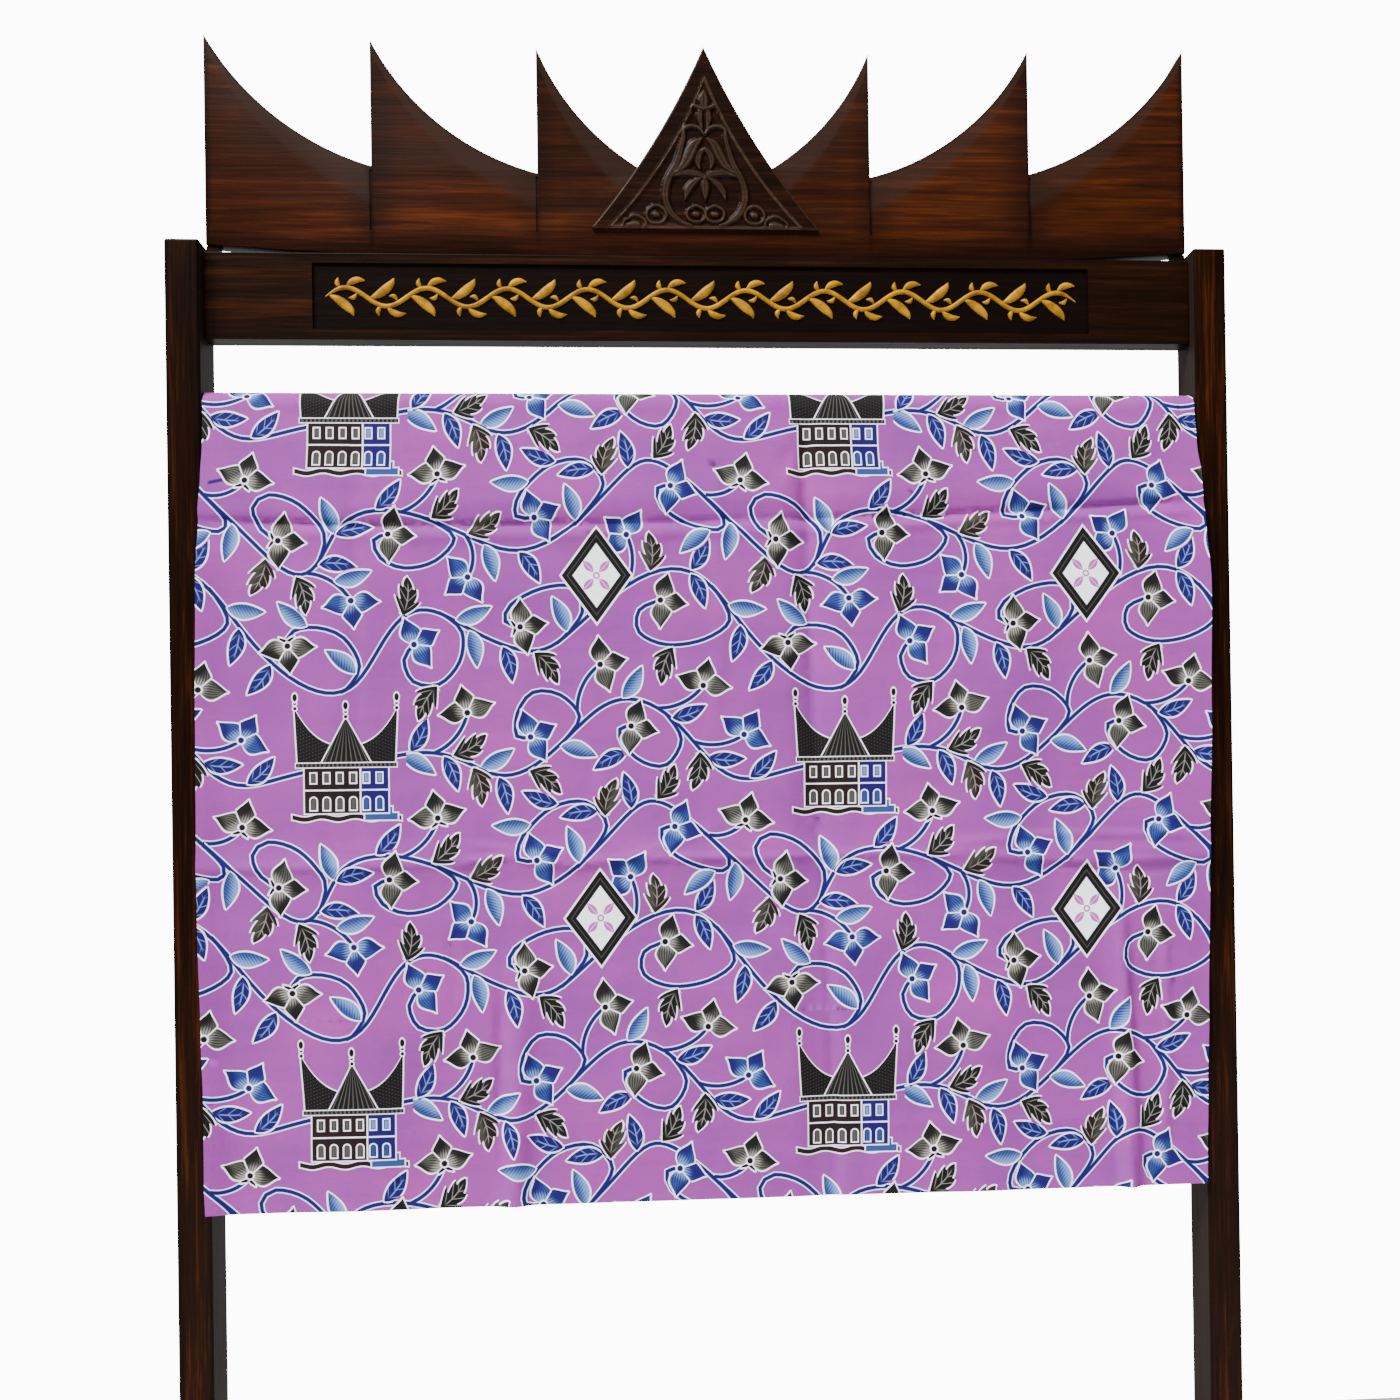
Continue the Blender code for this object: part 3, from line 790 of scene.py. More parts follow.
class Print:
    """Gathers the flat polygons of the print, each with the map from the cloth to its own places."""

    def __init__(self):
        self.points = []
        self.faces = []
        self.maps = []
        self.kinds = []

    def add(self, kind, outline, scale_map, tone=0.0):
        """Keep one polygon. scale_map holds the (across, along, 1) factors of its two own coordinates."""
        start = len(self.points)
        outline = counterclockwise(outline)
        for (x0, y0), (x1, y1) in zip(outline, outline[1:] + outline[:1]):
            pieces = max(1, math.ceil(math.dist((x0, y0), (x1, y1)) / LONGEST_SIDE))
            self.points += [(x0 + (x1 - x0) * step / pieces, y0 + (y1 - y0) * step / pieces)
                            for step in range(pieces)]
        self.faces.append(list(range(start, len(self.points))))
        self.maps.append((*scale_map[0], *scale_map[1], tone))
        self.kinds.append(kind)

    def motif(self, kind, at, heading, outline, size_along, size_aside, tone=0.0):
        """A motif drawn in its own frame, placed and turned on the cloth."""
        c, s = math.cos(heading), math.sin(heading)
        places = [turned(at, heading, a * size_along, b * size_aside) for a, b in outline]
        rows = (
            (c / size_along, s / size_along, -(c * at[0] + s * at[1]) / size_along),
            (-s / size_aside, c / size_aside, (s * at[0] - c * at[1]) / size_aside),
        )
        self.add(kind, places, rows, tone)

    def vine(self, path, before=None, after=None):
        """A vine as a run of short quads that meet on mitred ends."""
        ends = [before or path[0]] + list(path) + [after or path[-1]]
        corners = []
        for (x0, y0), (x1, y1), (x2, y2) in zip(ends, ends[1:], ends[2:]):
            angle = math.atan2(y2 - y0, x2 - x0)
            first = math.atan2(y1 - y0, x1 - x0) if (x0, y0) != (x1, y1) else angle
            reach = 1.06 * VINE_WIDE / 2 / max(0.5, math.cos(angle - first))
            corners.append((turned((x1, y1), angle, 0.0, reach), turned((x1, y1), angle, 0.0, -reach)))
        for number, (start, end) in enumerate(zip(path, path[1:])):
            angle = math.atan2(end[1] - start[1], end[0] - start[0])
            c, s = math.cos(angle), math.sin(angle)
            half = VINE_WIDE / 2
            rows = ((c, s, 0.0), (-s / half, c / half, (s * start[0] - c * start[1]) / half))
            (left0, right0), (left1, right1) = corners[number], corners[number + 1]
            self.add("vine", [right0, right1, left1, left0], rows)


def shifted(path, across, along):
    """A path moved to one repeat of the tile."""
    return [(x + across, y + along) for x, y in path]


def lay_out_print():
    """Every motif of the print on the flat cloth, with some hanging over its edges."""
    stems, sprigs, motifs = compose()
    drawn = {"flower": (flower_outline(), PETAL["long"], PETAL["long"])}
    for kind, size in (("leaf", LEAF), ("toothed", TOOTHED)):
        drawn[kind] = (leaf_outline(size), size["long"], size["wide"] / 2)
    sheet = Print()
    for across, along in ((TILE_ACROSS + column * TILE_WIDE, TILE_ALONG + row * TILE_HIGH)
                          for column in TILE_COLUMNS for row in TILE_ROWS):

        def near(x, y, margin=0.06):
            return abs(x + across) < CLOTH_WIDTH / 2 + margin and -margin < y + along < CLOTH_LENGTH + margin

        for number, path in enumerate(stems):
            ends = [stem_point(number, -TILE_WIDE / STEM_POINTS),
                    stem_point(number, TILE_WIDE * (1 + 1 / STEM_POINTS))]
            if any(near(x, y) for x, y in path):
                sheet.vine(shifted(path, across, along), *shifted(ends, across, along))
        for path in sprigs:
            if any(near(x, y) for x, y in path):
                sheet.vine(shifted(path, across, along))
        for motif in motifs:
            if near(*motif["at"]):
                outline, long, half = drawn[motif["kind"]]
                at = shifted([motif["at"]], across, along)[0]
                sheet.motif(motif["kind"], at, motif["heading"], outline, long, motif["side"] * half,
                            motif["tone"])
        for kind, size in (("house", HOUSE), ("lozenge", LOZENGE)):
            if near(size["x"], size["y"], 0.12):
                wide, high = size["wide"] / 2, size["high"] / 2
                corners = [(-wide, -high), (wide, -high), (wide, high), (-wide, high)]
                if kind == "lozenge":
                    corners = [(-wide, 0.0), (0.0, -high), (wide, 0.0), (0.0, high)]
                sheet.motif(kind, (size["x"] + across, size["y"] + along), 0.0, corners, 1.0, 1.0)
    return sheet


def cut_sheet(sheet):
    """Triangles of the flat cloth, cut along the print's polygons."""
    half = CLOTH_WIDTH / 2
    rectangle = [(-half, 0.0), (half, 0.0), (half, CLOTH_LENGTH), (-half, CLOTH_LENGTH)]
    busy = {(round(x / MOTIF_ROOM), round(y / MOTIF_ROOM)) for x, y in sheet.points}
    grid = []
    for along in stops(0.0, CLOTH_LENGTH, SHEET_PITCH, FINE_ROWS):
        for across in stops(-half, half, SHEET_PITCH, FINE_COLUMNS):
            edge = abs(abs(across) - half) < 1e-9 or along in (0.0, CLOTH_LENGTH)
            if edge or (round(across / MOTIF_ROOM), round(along / MOTIF_ROOM)) not in busy:
                grid.append((across, along))
    points = rectangle + grid + list(sheet.points)
    first = len(rectangle) + len(grid)
    faces = [[0, 1, 2, 3]] + [[first + index for index in face] for face in sheet.faces]
    result = delaunay_2d_cdt([Vector(point) for point in points], [], faces, 0, 1e-7)
    places, triangles, origins = result[0], result[2], result[5]
    kept, chosen, under = [], [], []
    for triangle, origin in zip(triangles, origins):
        middle = sum((places[index] for index in triangle), Vector((0.0, 0.0))) / 3
        if abs(middle.x) > half or not 0.0 < middle.y < CLOTH_LENGTH:
            continue
        kinds = {sheet.kinds[index - 1]: index - 1 for index in origin if index > 0}
        vines = [index - 1 for index in origin if index > 0 and sheet.kinds[index - 1] == "vine"]
        top = next((kind for kind in PRINT_ORDER if kind in kinds), None)
        kept.append(triangle)
        chosen.append(kinds[top] if top else -1)
        under.append((vines + [-1, -1])[:2])
    used, kept = np.unique(np.array(kept), return_inverse=True)
    places = np.array([tuple(places[index]) for index in used])
    return places, kept.reshape(-1, 3), np.array(chosen), np.array(under)


def store(mesh, name, values):
    """Keep one vector for each corner of the mesh."""
    layer = mesh.attributes.new(name, "FLOAT_VECTOR", "CORNER")
    layer.data.foreach_set("vector", np.ascontiguousarray(values, np.float32).ravel())


def triangle_mesh(name, points, triangles):
    """A mesh from arrays of points and triangles."""
    mesh = bpy.data.meshes.new(name)
    mesh.vertices.add(len(points))
    mesh.vertices.foreach_set("co", np.ascontiguousarray(points, np.float32).ravel())
    mesh.loops.add(3 * len(triangles))
    mesh.loops.foreach_set("vertex_index", np.ascontiguousarray(triangles, np.int32).ravel())
    mesh.polygons.add(len(triangles))
    mesh.polygons.foreach_set("loop_start", np.arange(0, 3 * len(triangles), 3, dtype=np.int32))
    mesh.update(calc_edges=True)
    mesh.validate()
    return mesh


def link(name, mesh):
    """Put a mesh into the scene as one named piece."""
    piece = bpy.data.objects.new(name, mesh)
    bpy.context.scene.collection.objects.link(piece)
    return piece


def make_cloth(surfaces):
    """The cloth: its print is cut into the flat sheet, and the sheet is hung.

    Each corner carries its place on the flat cloth, its place in its own motif and how far it
    lies aside from the vines that pass under it.
    """
    sheet = lay_out_print()
    flat, triangles, chosen, under = cut_sheet(sheet)
    hung = np.array([drape(x, y, extra) for (x, y), extra in zip(flat, wrinkle_lift(flat))])
    mesh = triangle_mesh("batik_sheet", hung, triangles)
    corners = flat[triangles]
    maps = np.array(sheet.maps + [(0.0,) * 7])
    ones = np.ones((*corners.shape[:2], 1))
    spots = np.concatenate([corners, ones], axis=2)

    def own_place(motifs, first):
        """One of the motifs' own coordinates at every corner."""
        return np.einsum("tcj,tj->tc", spots, maps[motifs, first:first + 3])

    tone = np.repeat(maps[chosen, 6:7], 3, axis=1)
    store(mesh, "motif", np.stack([own_place(chosen, 0), own_place(chosen, 3), tone], axis=2))
    asides = [np.where(vines[:, None] < 0, NO_VINE, own_place(vines, 3)) for vines in under.T]
    store(mesh, "under", np.stack([*asides, tone * 0.0], axis=2))
    store(mesh, "flat", np.concatenate([corners, ones * 0.0], axis=2))
    names = ("ground", *PRINT_ORDER)
    kinds = np.array([names.index(sheet.kinds[index]) if index >= 0 else 0 for index in chosen], np.int32)
    mesh.polygons.foreach_set("material_index", kinds)
    mesh.shade_smooth()
    for name in names:
        mesh.materials.append(surfaces[name].material)
    cloth = link("batik_sheet", mesh)
    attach(cloth, "root")
    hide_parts("batik_cloth")


# Colours of the wood
# Near black: the rail panel's own colour, and painted shade on the posts, rail and crown
SHADE_AND_PANEL_BLACK = paint(9, 5, 4)
# Dusty grey-brown: dust on the posts' inner sides, and a painted reflection along the horns' hollow edges
DUST_AND_REFLECTION = paint(37, 26, 20)
# Painted highlight: a light brown for the glint on the carving's line, edges and crests
HIGHLIGHT_BROWN = paint(104, 84, 66)
CROWN_TONES = (paint(30, 12, 5), paint(48, 20, 7), paint(76, 34, 10))
RAIL_TONES = (paint(14, 6, 3), paint(28, 12, 4), paint(54, 24, 7))
POST_TONES = (paint(11, 4, 2), paint(26, 10, 3), paint(64, 28, 8))
PLAIN_TONES = (paint(22, 10, 5), paint(40, 18, 8), paint(64, 30, 14))
CARVED_TONES = (paint(12, 5, 3), paint(24, 10, 5), paint(48, 20, 9))

# Colours of the print, and its finest sizes
LILAC = paint(130, 55, 139)
WARM_LILAC = paint(141, 55, 138)
PALE = paint(246, 238, 255)
NAVY = paint(22, 12, 84)
MIDDLE_BLUE = paint(40, 64, 122)
LIGHT_BLUE = paint(96, 130, 192)
BRIGHT_BLUE = paint(108, 142, 202)
BLACK = paint(15, 13, 15)
BROWN_BLACK = paint(27, 15, 16)
GREY = paint(72, 72, 66)
LIGHT_GREY = paint(142, 143, 132)
WHITE = paint(246, 250, 250)
MAUVE = paint(170, 70, 164)
VINE_BANDS = ((0.90, 1.02, PALE), (0.62, 0.78, BRIGHT_BLUE), (0.44, 0.62, NAVY))
WEFT_PITCH = 0.0011
WARP_PITCH = 0.0012
EYE = 0.0034
HOUSE_RIM = 0.0014
BAY_PITCH = 0.0145


def cloth_surface(name):
    """A surface with the cotton's own constants."""
    return Surface(name, Roughness=0.8, Specular_IOR_Level=0.12, Sheen_Weight=0.02, Sheen_Roughness=0.4)


def dye_stroke(across, along):
    """A short dark brush mark near the left edge."""
    (left, low), (right, high) = DYE_STROKE["from"], DYE_STROKE["to"]
    share = (across - left) / (right - left)
    away = abs(along - low - share * (high - low))
    return (1 - away.soft(0.0008, 0.0030)) * share.soft(0.0, 0.1) * (1 - share.soft(0.8, 1.0))


def printed_ground(surface):
    """The dyed ground with any vine that passes here."""
    flat = surface.attribute("flat")
    across, along = surface.parts(flat)[:2]
    cloud = surface.noise(flat, 7.0, 4.0, 0.55)
    wash = surface.noise(surface.stretched(flat, (3.0, 26.0, 1.0)), 1.0, 3.0, 0.6)
    fibre = surface.noise(surface.stretched(flat, (140.0, 900.0, 1.0)), 1.0, 2.0, 0.6)
    shade = 0.66 + 0.30 * cloud + 0.28 * wash + 0.10 * fibre
    colour = surface.times(surface.mix(cloud.soft(0.35, 0.75), LILAC, WARM_LILAC), shade)
    colour = surface.mix(dye_stroke(across, along) * 0.95, colour, NAVY)
    first, second = surface.parts(surface.attribute("under"))[:2]
    away = abs(first).least(abs(second))
    for low, high, paint_over in VINE_BANDS:
        colour = surface.mix(1 - away.soft(low, high), colour, paint_over)
    return colour


def finish_cloth(surface, colour):
    """The cotton's wear, weave and slubs over whatever is printed."""
    flat = surface.attribute("flat")
    across, along = surface.parts(flat)[:2]
    weft = (along * 2 * math.pi / WEFT_PITCH).sine()
    warp = (across * 2 * math.pi / WARP_PITCH).sine()
    slub = surface.noise(surface.stretched(flat, (60.0, 1300.0, 1.0)), 1.0, 2.0, 0.5)
    crumple = surface.noise(flat, 46.0, 4.0, 0.55)
    surface.drive("Base Color", colour)
    surface.drive("Roughness", 0.72 + 0.16 * slub)
    surface.bump(0.10 * weft + 0.10 * warp + 0.5 * slub + 1.6 * crumple, 0.0006, 0.7)
    return surface


def outlined(surface, under, inside, fill, rim=OUTLINE):
    """Paint a filled shape with its pale outline, from the depth inside its edge in metres."""
    colour = surface.mix(inside.soft(-rim - SOFT, -rim + SOFT), under, PALE)
    return surface.mix(inside.soft(-SOFT, SOFT), colour, fill)


def leaf_places(surface, size, teeth=0):
    """A leaf's own coordinates and the depth inside its edge."""
    along, aside, tone = surface.parts(surface.attribute("motif"))
    share = along.held()
    middle = aside - leaf_bend(share)
    half = ((share ** 0.85) * math.pi).sine() ** 0.9
    if teeth:
        half = half * (0.60 + 0.52 * (share * teeth - abs(middle) * 0.35).part())
    beyond = (along - 1.0).most(0.0) + (0 - along).most(0.0)
    return share, middle, tone, (half - abs(middle)) * (size["wide"] / 2) - beyond * size["long"]


def leaf_surface():
    """Plain leaves: navy with a light vein, or light blue with slanted hatching."""
    surface = cloth_surface("printed plain leaves")
    share, middle, tone, inside = leaf_places(surface, LEAF)
    vein = (middle + 0.10).line(0.04, 0.09)
    side_veins = (share * 3.6 - abs(middle) * 0.8).repeat().line(0.03, 0.07)
    marks = vein.most(side_veins * 0.8) * share.soft(0.10, 0.30) * (1 - share.soft(0.60, 0.85))
    navy = surface.mix(marks * 0.7, NAVY, BRIGHT_BLUE)
    hatch = (share * 11.0 + middle * 1.8).repeat().line(0.06, 0.16)
    fade = surface.mix(middle.soft(-0.9, 0.7), BRIGHT_BLUE, MIDDLE_BLUE)
    fade = surface.mix(share.soft(0.70, 1.0) * 0.7, fade, NAVY)
    light = surface.mix(hatch * (0.35 + 0.55 * middle.soft(-1.0, 0.5)), fade, NAVY)
    fill = surface.mix(tone, navy, light)
    return finish_cloth(surface, outlined(surface, printed_ground(surface), inside, fill))


def toothed_surface():
    """Dark toothed leaves with pale strokes."""
    surface = cloth_surface("printed toothed leaves")
    share, middle, tone, inside = leaf_places(surface, TOOTHED, teeth=3)
    strokes = (share * 4.0 - abs(middle) * 1.5).repeat().line(0.02, 0.07)
    marks = strokes.most(middle.line(0.02, 0.05)) * share.soft(0.10, 0.30) * (1 - share.soft(0.70, 0.90))
    body = surface.mix(middle.soft(-0.2, 0.7) * tone * 0.55, surface.mix(tone, BLACK, BROWN_BLACK), GREY)
    lines = surface.mix(tone * middle.soft(0.1, 0.6), LIGHT_GREY, BLACK)
    fill = surface.mix(marks * 0.62, body, lines)
    return finish_cloth(surface, outlined(surface, printed_ground(surface), inside, fill))


def petal_places(angle, radius, size, bend=0.0):
    """Share along a petal, place between its edges and the depth inside it, for one that leaves the eye."""
    along = radius * angle.math("COSINE") * (PETAL["long"] / size["long"])
    share = along.held()
    aside = radius * angle.sine() * (2 * PETAL["long"] / size["wide"]) - share * share * bend
    half = ((share ** 0.72) * math.pi).sine().most(0.0) ** 1.3
    beyond = ((along - 1.0).most(0.0) + (0 - along).most(0.0)) * size["long"]
    return share, aside / (half + 0.05), (half - abs(aside)) * (size["wide"] / 2) - beyond


def flower_surface():
    """Flowers of three pointed petals about a dark eye, in grey and black or in blues, some with a calyx."""
    surface = cloth_surface("printed flowers")
    x, y, tone = surface.parts(surface.attribute("motif"))
    blue = 1 - abs(tone - 1.0).above(0.5)
    radius = (x * x + y * y) ** 0.5
    angle = surface.node("ShaderNodeMath", {"operation": "ARCTAN2"}, [y, x])
    turn = (angle / PETAL_SPREAD).math("ROUND").most(-1.0).least(1.0)
    share, ribs, depth = petal_places(angle - turn * PETAL_SPREAD, radius, PETAL, turn * PETAL_BEND)
    seam = abs((abs(angle) - PETAL_SPREAD / 2).sine()) * radius * PETAL["long"] - 0.0007
    dark, middle, light = (surface.mix(blue, grey, ink) for grey, ink in (
        (BLACK, NAVY), (GREY, MIDDLE_BLUE), (LIGHT_GREY, BRIGHT_BLUE)))
    swing = 0.5 + 0.5 * (turn * 1.7 + tone * 0.9 + 0.4).sine()
    fade = surface.mix((share * 1.1 - ribs * 0.22 - swing * 0.25).soft(0.06, 0.45), light, middle)
    fade = surface.mix((share + ribs * 0.34 + swing * 0.50).soft(0.55, 1.05) * 0.97, fade, dark)
    hatch = (ribs * 4.0 + share * 0.9).repeat().line(0.10, 0.14)
    fill = surface.mix(hatch * 0.88 * share.soft(0.08, 0.24), fade, dark)
    calyx = petal_places(abs(angle) - CALYX["lean"], radius, CALYX)[2].least(tone.above(1.5) - 0.5)
    colour = outlined(surface, printed_ground(surface), calyx, BLACK)
    colour = outlined(surface, colour, depth.least(seam), fill)
    return finish_cloth(surface, outlined(surface, colour, EYE - radius * PETAL["long"], dark, 0.0018))


def lozenge_surface():
    """White lozenges in a black frame, each with a mauve flower of four petals."""
    surface = cloth_surface("printed lozenges")
    x, y = surface.parts(surface.attribute("motif"))[:2]
    wide, high = LOZENGE["wide"] / 2, LOZENGE["high"] / 2
    inside = (1 - abs(x) / wide - abs(y) / high) * (wide * high / math.hypot(wide, high))
    beads = (inside - 0.0074).line(0.0005, 0.0005)
    beads = beads * ((abs(x) / wide - abs(y) / high) * 17.0).repeat().soft(0.05, 0.15)
    colour = surface.mix(inside.soft(0.0018, 0.0024), PALE, surface.mix(beads * 0.5, BLACK, GREY))
    colour = surface.mix(inside.soft(0.0118, 0.0126), colour, WHITE)
    lean = math.radians(48)
    along = abs(x) * math.cos(lean) + abs(y) * math.sin(lean)
    aside = abs(x) * math.sin(lean) - abs(y) * math.cos(lean)
    share = ((along - 0.0045) / 0.0180).held()
    petal = (share * math.pi).sine().most(0.0) ** 0.9 * 0.0044 - abs(aside)
    colour = surface.mix(petal.soft(0.0000, 0.0005), colour, MAUVE)
    vein = aside.line(0.0001, 0.0004) * petal.soft(0.0010, 0.0018)
    colour = surface.mix(vein * 0.6, colour, WHITE)
    ring = ((x * x + y * y) ** 0.5 - 0.0030).line(0.0007, 0.0005)
    return finish_cloth(surface, surface.mix(ring, colour, MAUVE))


def box_depth(x, y, left, right, low, high):
    """Depth inside a box, in metres."""
    return (x - left).least(right - x).least((y - low).least(high - y))


def house_surface():
    """Small houses with horned roofs: dark walls, a blue porch, a dark roof and beaded finials.

    x runs from the middle of the house and y from its foot, in metres.
    """
    surface = cloth_surface("printed houses")
    x, centred = surface.parts(surface.attribute("motif"))[:2]
    y = centred + HOUSE["high"] / 2
    spread = abs(x)
    side = x.soft(0.0150, 0.0156)
    wave = 0.0070 + 0.0016 * (x * 170.0).sine()
    walls = box_depth(x, y, -0.046, 0.046, 0.012, 0.064)
    steps = box_depth(x, y, 0.020, 0.056, 0.004, 0.0115).most(box_depth(x, y, 0.026, 0.050, 0.004, 0.0185))
    colour = printed_ground(surface)
    for shape, fill in (
        ((0.0026 - abs(y - wave)).least(0.060 - spread), BROWN_BLACK),
        (steps, MIDDLE_BLUE),
        (walls, surface.mix(side, BROWN_BLACK, NAVY)),
    ):
        colour = outlined(surface, colour, shape, fill, HOUSE_RIM)
    frames = (y - 0.0375).line(0.0006, 0.0005).most((x - 0.0153).line(0.0006, 0.0005))
    colour = surface.mix(frames * walls.above(0.0), colour, PALE)
    bay = (((x + 0.0435) / BAY_PITCH).part() - 0.5) * BAY_PITCH
    window = (0.0036 - abs(bay)).least(0.0060 - abs(y - 0.0510))
    arch = (0.0040 - (bay * bay + (y - 0.0260).most(0.0) ** 2.0) ** 0.5).least(y - 0.0150)
    for shape, pane in ((window, LIGHT_BLUE), (arch, MIDDLE_BLUE)):
        colour = surface.mix(shape.line(0.0005, 0.0005) * walls.above(0.002), colour, PALE)
        heart = shape.soft(0.0014, 0.0020) * walls.above(0.002)
        colour = surface.mix(heart * 0.8, colour, surface.mix(side, GREY, pane))
    saddle = 0.086 + 6.0 * spread * spread + 130.0 * spread ** 3.0
    roof = (saddle - y).least(y - 0.0650).least(0.0535 + 0.05 * (y - 0.065) - spread)
    thatch = (y * 260.0 + spread * 90.0).repeat().soft(0.34, 0.46) * (x * 300.0).repeat().soft(0.30, 0.40)
    gable = ((0.118 - y) * 0.50 - spread * 0.93).least(y - 0.0665)
    rays = (spread / (0.1215 - y).most(0.001) * 9.0).repeat().soft(0.30, 0.42)
    eave = box_depth(x, y, -0.0555, 0.0555, 0.0630, 0.0675)
    for shape, marks, rim in (
        (roof, thatch * 0.7, HOUSE_RIM),
        (gable, rays * 0.85, HOUSE_RIM),
        (eave, (x * 210.0).repeat().soft(0.20, 0.30) * 0.8, HOUSE_RIM * 0.7),
    ):
        colour = outlined(surface, colour, shape, surface.mix(marks, BLACK, GREY), rim)
    for foot_x, foot_y in ((0.0560, 0.1285), (0.0, 0.1190)):
        for rise, size, squash in ((0.0000, 0.0020, 1.0), (0.0056, 0.0018, 1.0), (0.0122, 0.0026, 0.6)):
            away = ((spread - foot_x) ** 2.0 + ((y - foot_y - rise) * squash) ** 2.0) ** 0.5
            colour = outlined(surface, colour, size - away, BLACK, 0.0011)
    return finish_cloth(surface, colour)


def ground_surface():
    """The open ground and the vines."""
    surface = cloth_surface("printed ground")
    return finish_cloth(surface, printed_ground(surface))


def varnished_wood(name, along, tones, shade_and_black=None, dust_and_reflection=None, with_highlight=False):
    """Dark varnished timber with streaks along one axis. Its masks give near black and painted shade, dust
    and a painted reflection, and a painted highlight that the mesh stores.
    """
    surface = Surface(name, Coat_Roughness=0.24, Specular_IOR_Level=0.03)
    place = surface.place()
    stretch = (3.2, 58.0, 82.0) if along == "x" else (82.0, 58.0, 3.2)
    grain, finer, patch = (
        surface.noise(surface.stretched(place, tuple(size * times for size in stretch)), 1.0, *settings)
        for times, settings in ((1.0, (5.0, 0.62, 0.8)), (3.7, (3.0, 0.6, 0.3)), (0.16, (2.0, 0.5))))
    figure = grain * 0.62 + finer * 0.38
    settings = {"stops": list(zip((0.36, 0.52, 0.68), tones))}
    colour = surface.node("ShaderNodeValToRGB", settings, [figure])
    colour = surface.mix(patch.soft(0.42, 0.66) * 0.7, colour, tones[0])
    rough = 0.26 + 0.24 * finer
    # Painted shade: near black where the piece's mask says; on the rail it is also the panel's own black
    if shade_and_black:
        colour = surface.mix(shade_and_black(surface, place), colour, SHADE_AND_PANEL_BLACK)
    # Dust, and along the horns a painted reflection; both also make the finish rougher
    if dust_and_reflection:
        share = dust_and_reflection(surface, place)
        colour = surface.mix(share, colour, DUST_AND_REFLECTION)
        rough = rough + share * 0.35
    # Painted highlight: lighter brown where the mesh stores it
    if with_highlight:
        worn = surface.parts(surface.attribute("worn"))[0]
        colour = surface.mix(worn * (0.25 + 0.9 * grain), colour, HIGHLIGHT_BROWN)
    surface.drive("Base Color", colour)
    surface.drive("Roughness", rough)
    surface.drive("Coat Weight", 0.09 * patch)
    surface.bump(figure, 0.0012, 0.45)
    return surface.material


def post_painted_shade(surface, place):
    """Painted shade: the posts' faces darken to near black towards their arrises."""
    from_middle = abs(abs(surface.parts(place)[0]) - (CLEAR_WIDTH + POST_WIDTH) / 2) / (POST_WIDTH / 2)
    wander = surface.noise(surface.stretched(place, (40.0, 40.0, 3.0)), 1.0, 2.0, 0.5)
    return (from_middle + wander * 0.35 - 0.17).soft(0.66, 1.0) * 0.9


def post_dull(surface, place):
    """The dusty inner sides of the posts."""
    return (CLEAR_WIDTH / 2 + FACE_REACH - abs(surface.parts(place)[0])).above(0.0) * 0.7


def rail_panel_and_shade(surface, place):
    """The sunk panel in its own near black, and painted shade along the rail's top and bottom edges."""
    x, y, z = surface.parts(place)
    from_middle = abs(z - RAIL_MIDDLE)
    panel = (PANEL_WIDTH / 2 + FACE_REACH - abs(x)).least(PANEL_HEIGHT / 2 + FACE_REACH - from_middle)
    in_panel = panel.above(0.0) * (0 - y).above(0.0)
    # The panel's own black, and painted shade towards the rail's edges
    return in_panel.most(from_middle.soft(RAIL_HEIGHT / 2 - 0.010, RAIL_HEIGHT / 2) * 0.6) * 0.88


def arc_circle(start, end, bow):
    """The middle and radius of the circle that an arc follows, and half the angle that it spans."""
    (x0, z0), (x1, z1) = start, end
    chord = math.dist(start, end)
    half = 2.0 * math.atan(2.0 * bow)
    radius = chord / (2.0 * math.sin(half))
    rise = radius * math.cos(half) / chord
    return ((x0 + x1) / 2 - rise * (z1 - z0), (z0 + z1) / 2 + rise * (x1 - x0)), radius, half


def horn_band(surface, place, narrow, wide):
    """A band along the hollow edge of each horn, wider toward the notch, from the circle of that edge."""
    x, z = surface.parts(place)[::2]
    bands = []
    for horn in HORNS:
        start, end = (-horn["side"], horn["tip"]), (-horn["notch"], horn["low"])
        (middle_x, middle_z), radius = arc_circle(start, end, horn["bow"])[:2]
        away = ((0 - abs(x) - middle_x) ** 2.0 + (z - CROWN_FOOT - middle_z) ** 2.0) ** 0.5 - radius
        along = ((horn["side"] - abs(x)) / (horn["side"] - horn["notch"])).least(1.0)
        reach = narrow + (wide - narrow) * along.most(0.0)
        inside = along.above(0.0) * (abs(x) - horn["notch"]).above(0.0)
        bands.append((1 - (away / reach).soft(0.75, 1.15)) * inside)
    return bands[0].most(bands[1]).most(bands[2])


def crown_painted_reflection(surface, place):
    """Painted reflection: duller, greyer bands along the hollow edges of the horns, as their rounded edges
    would reflect.
    """
    return horn_band(surface, place, 0.006, 0.040) * 0.5


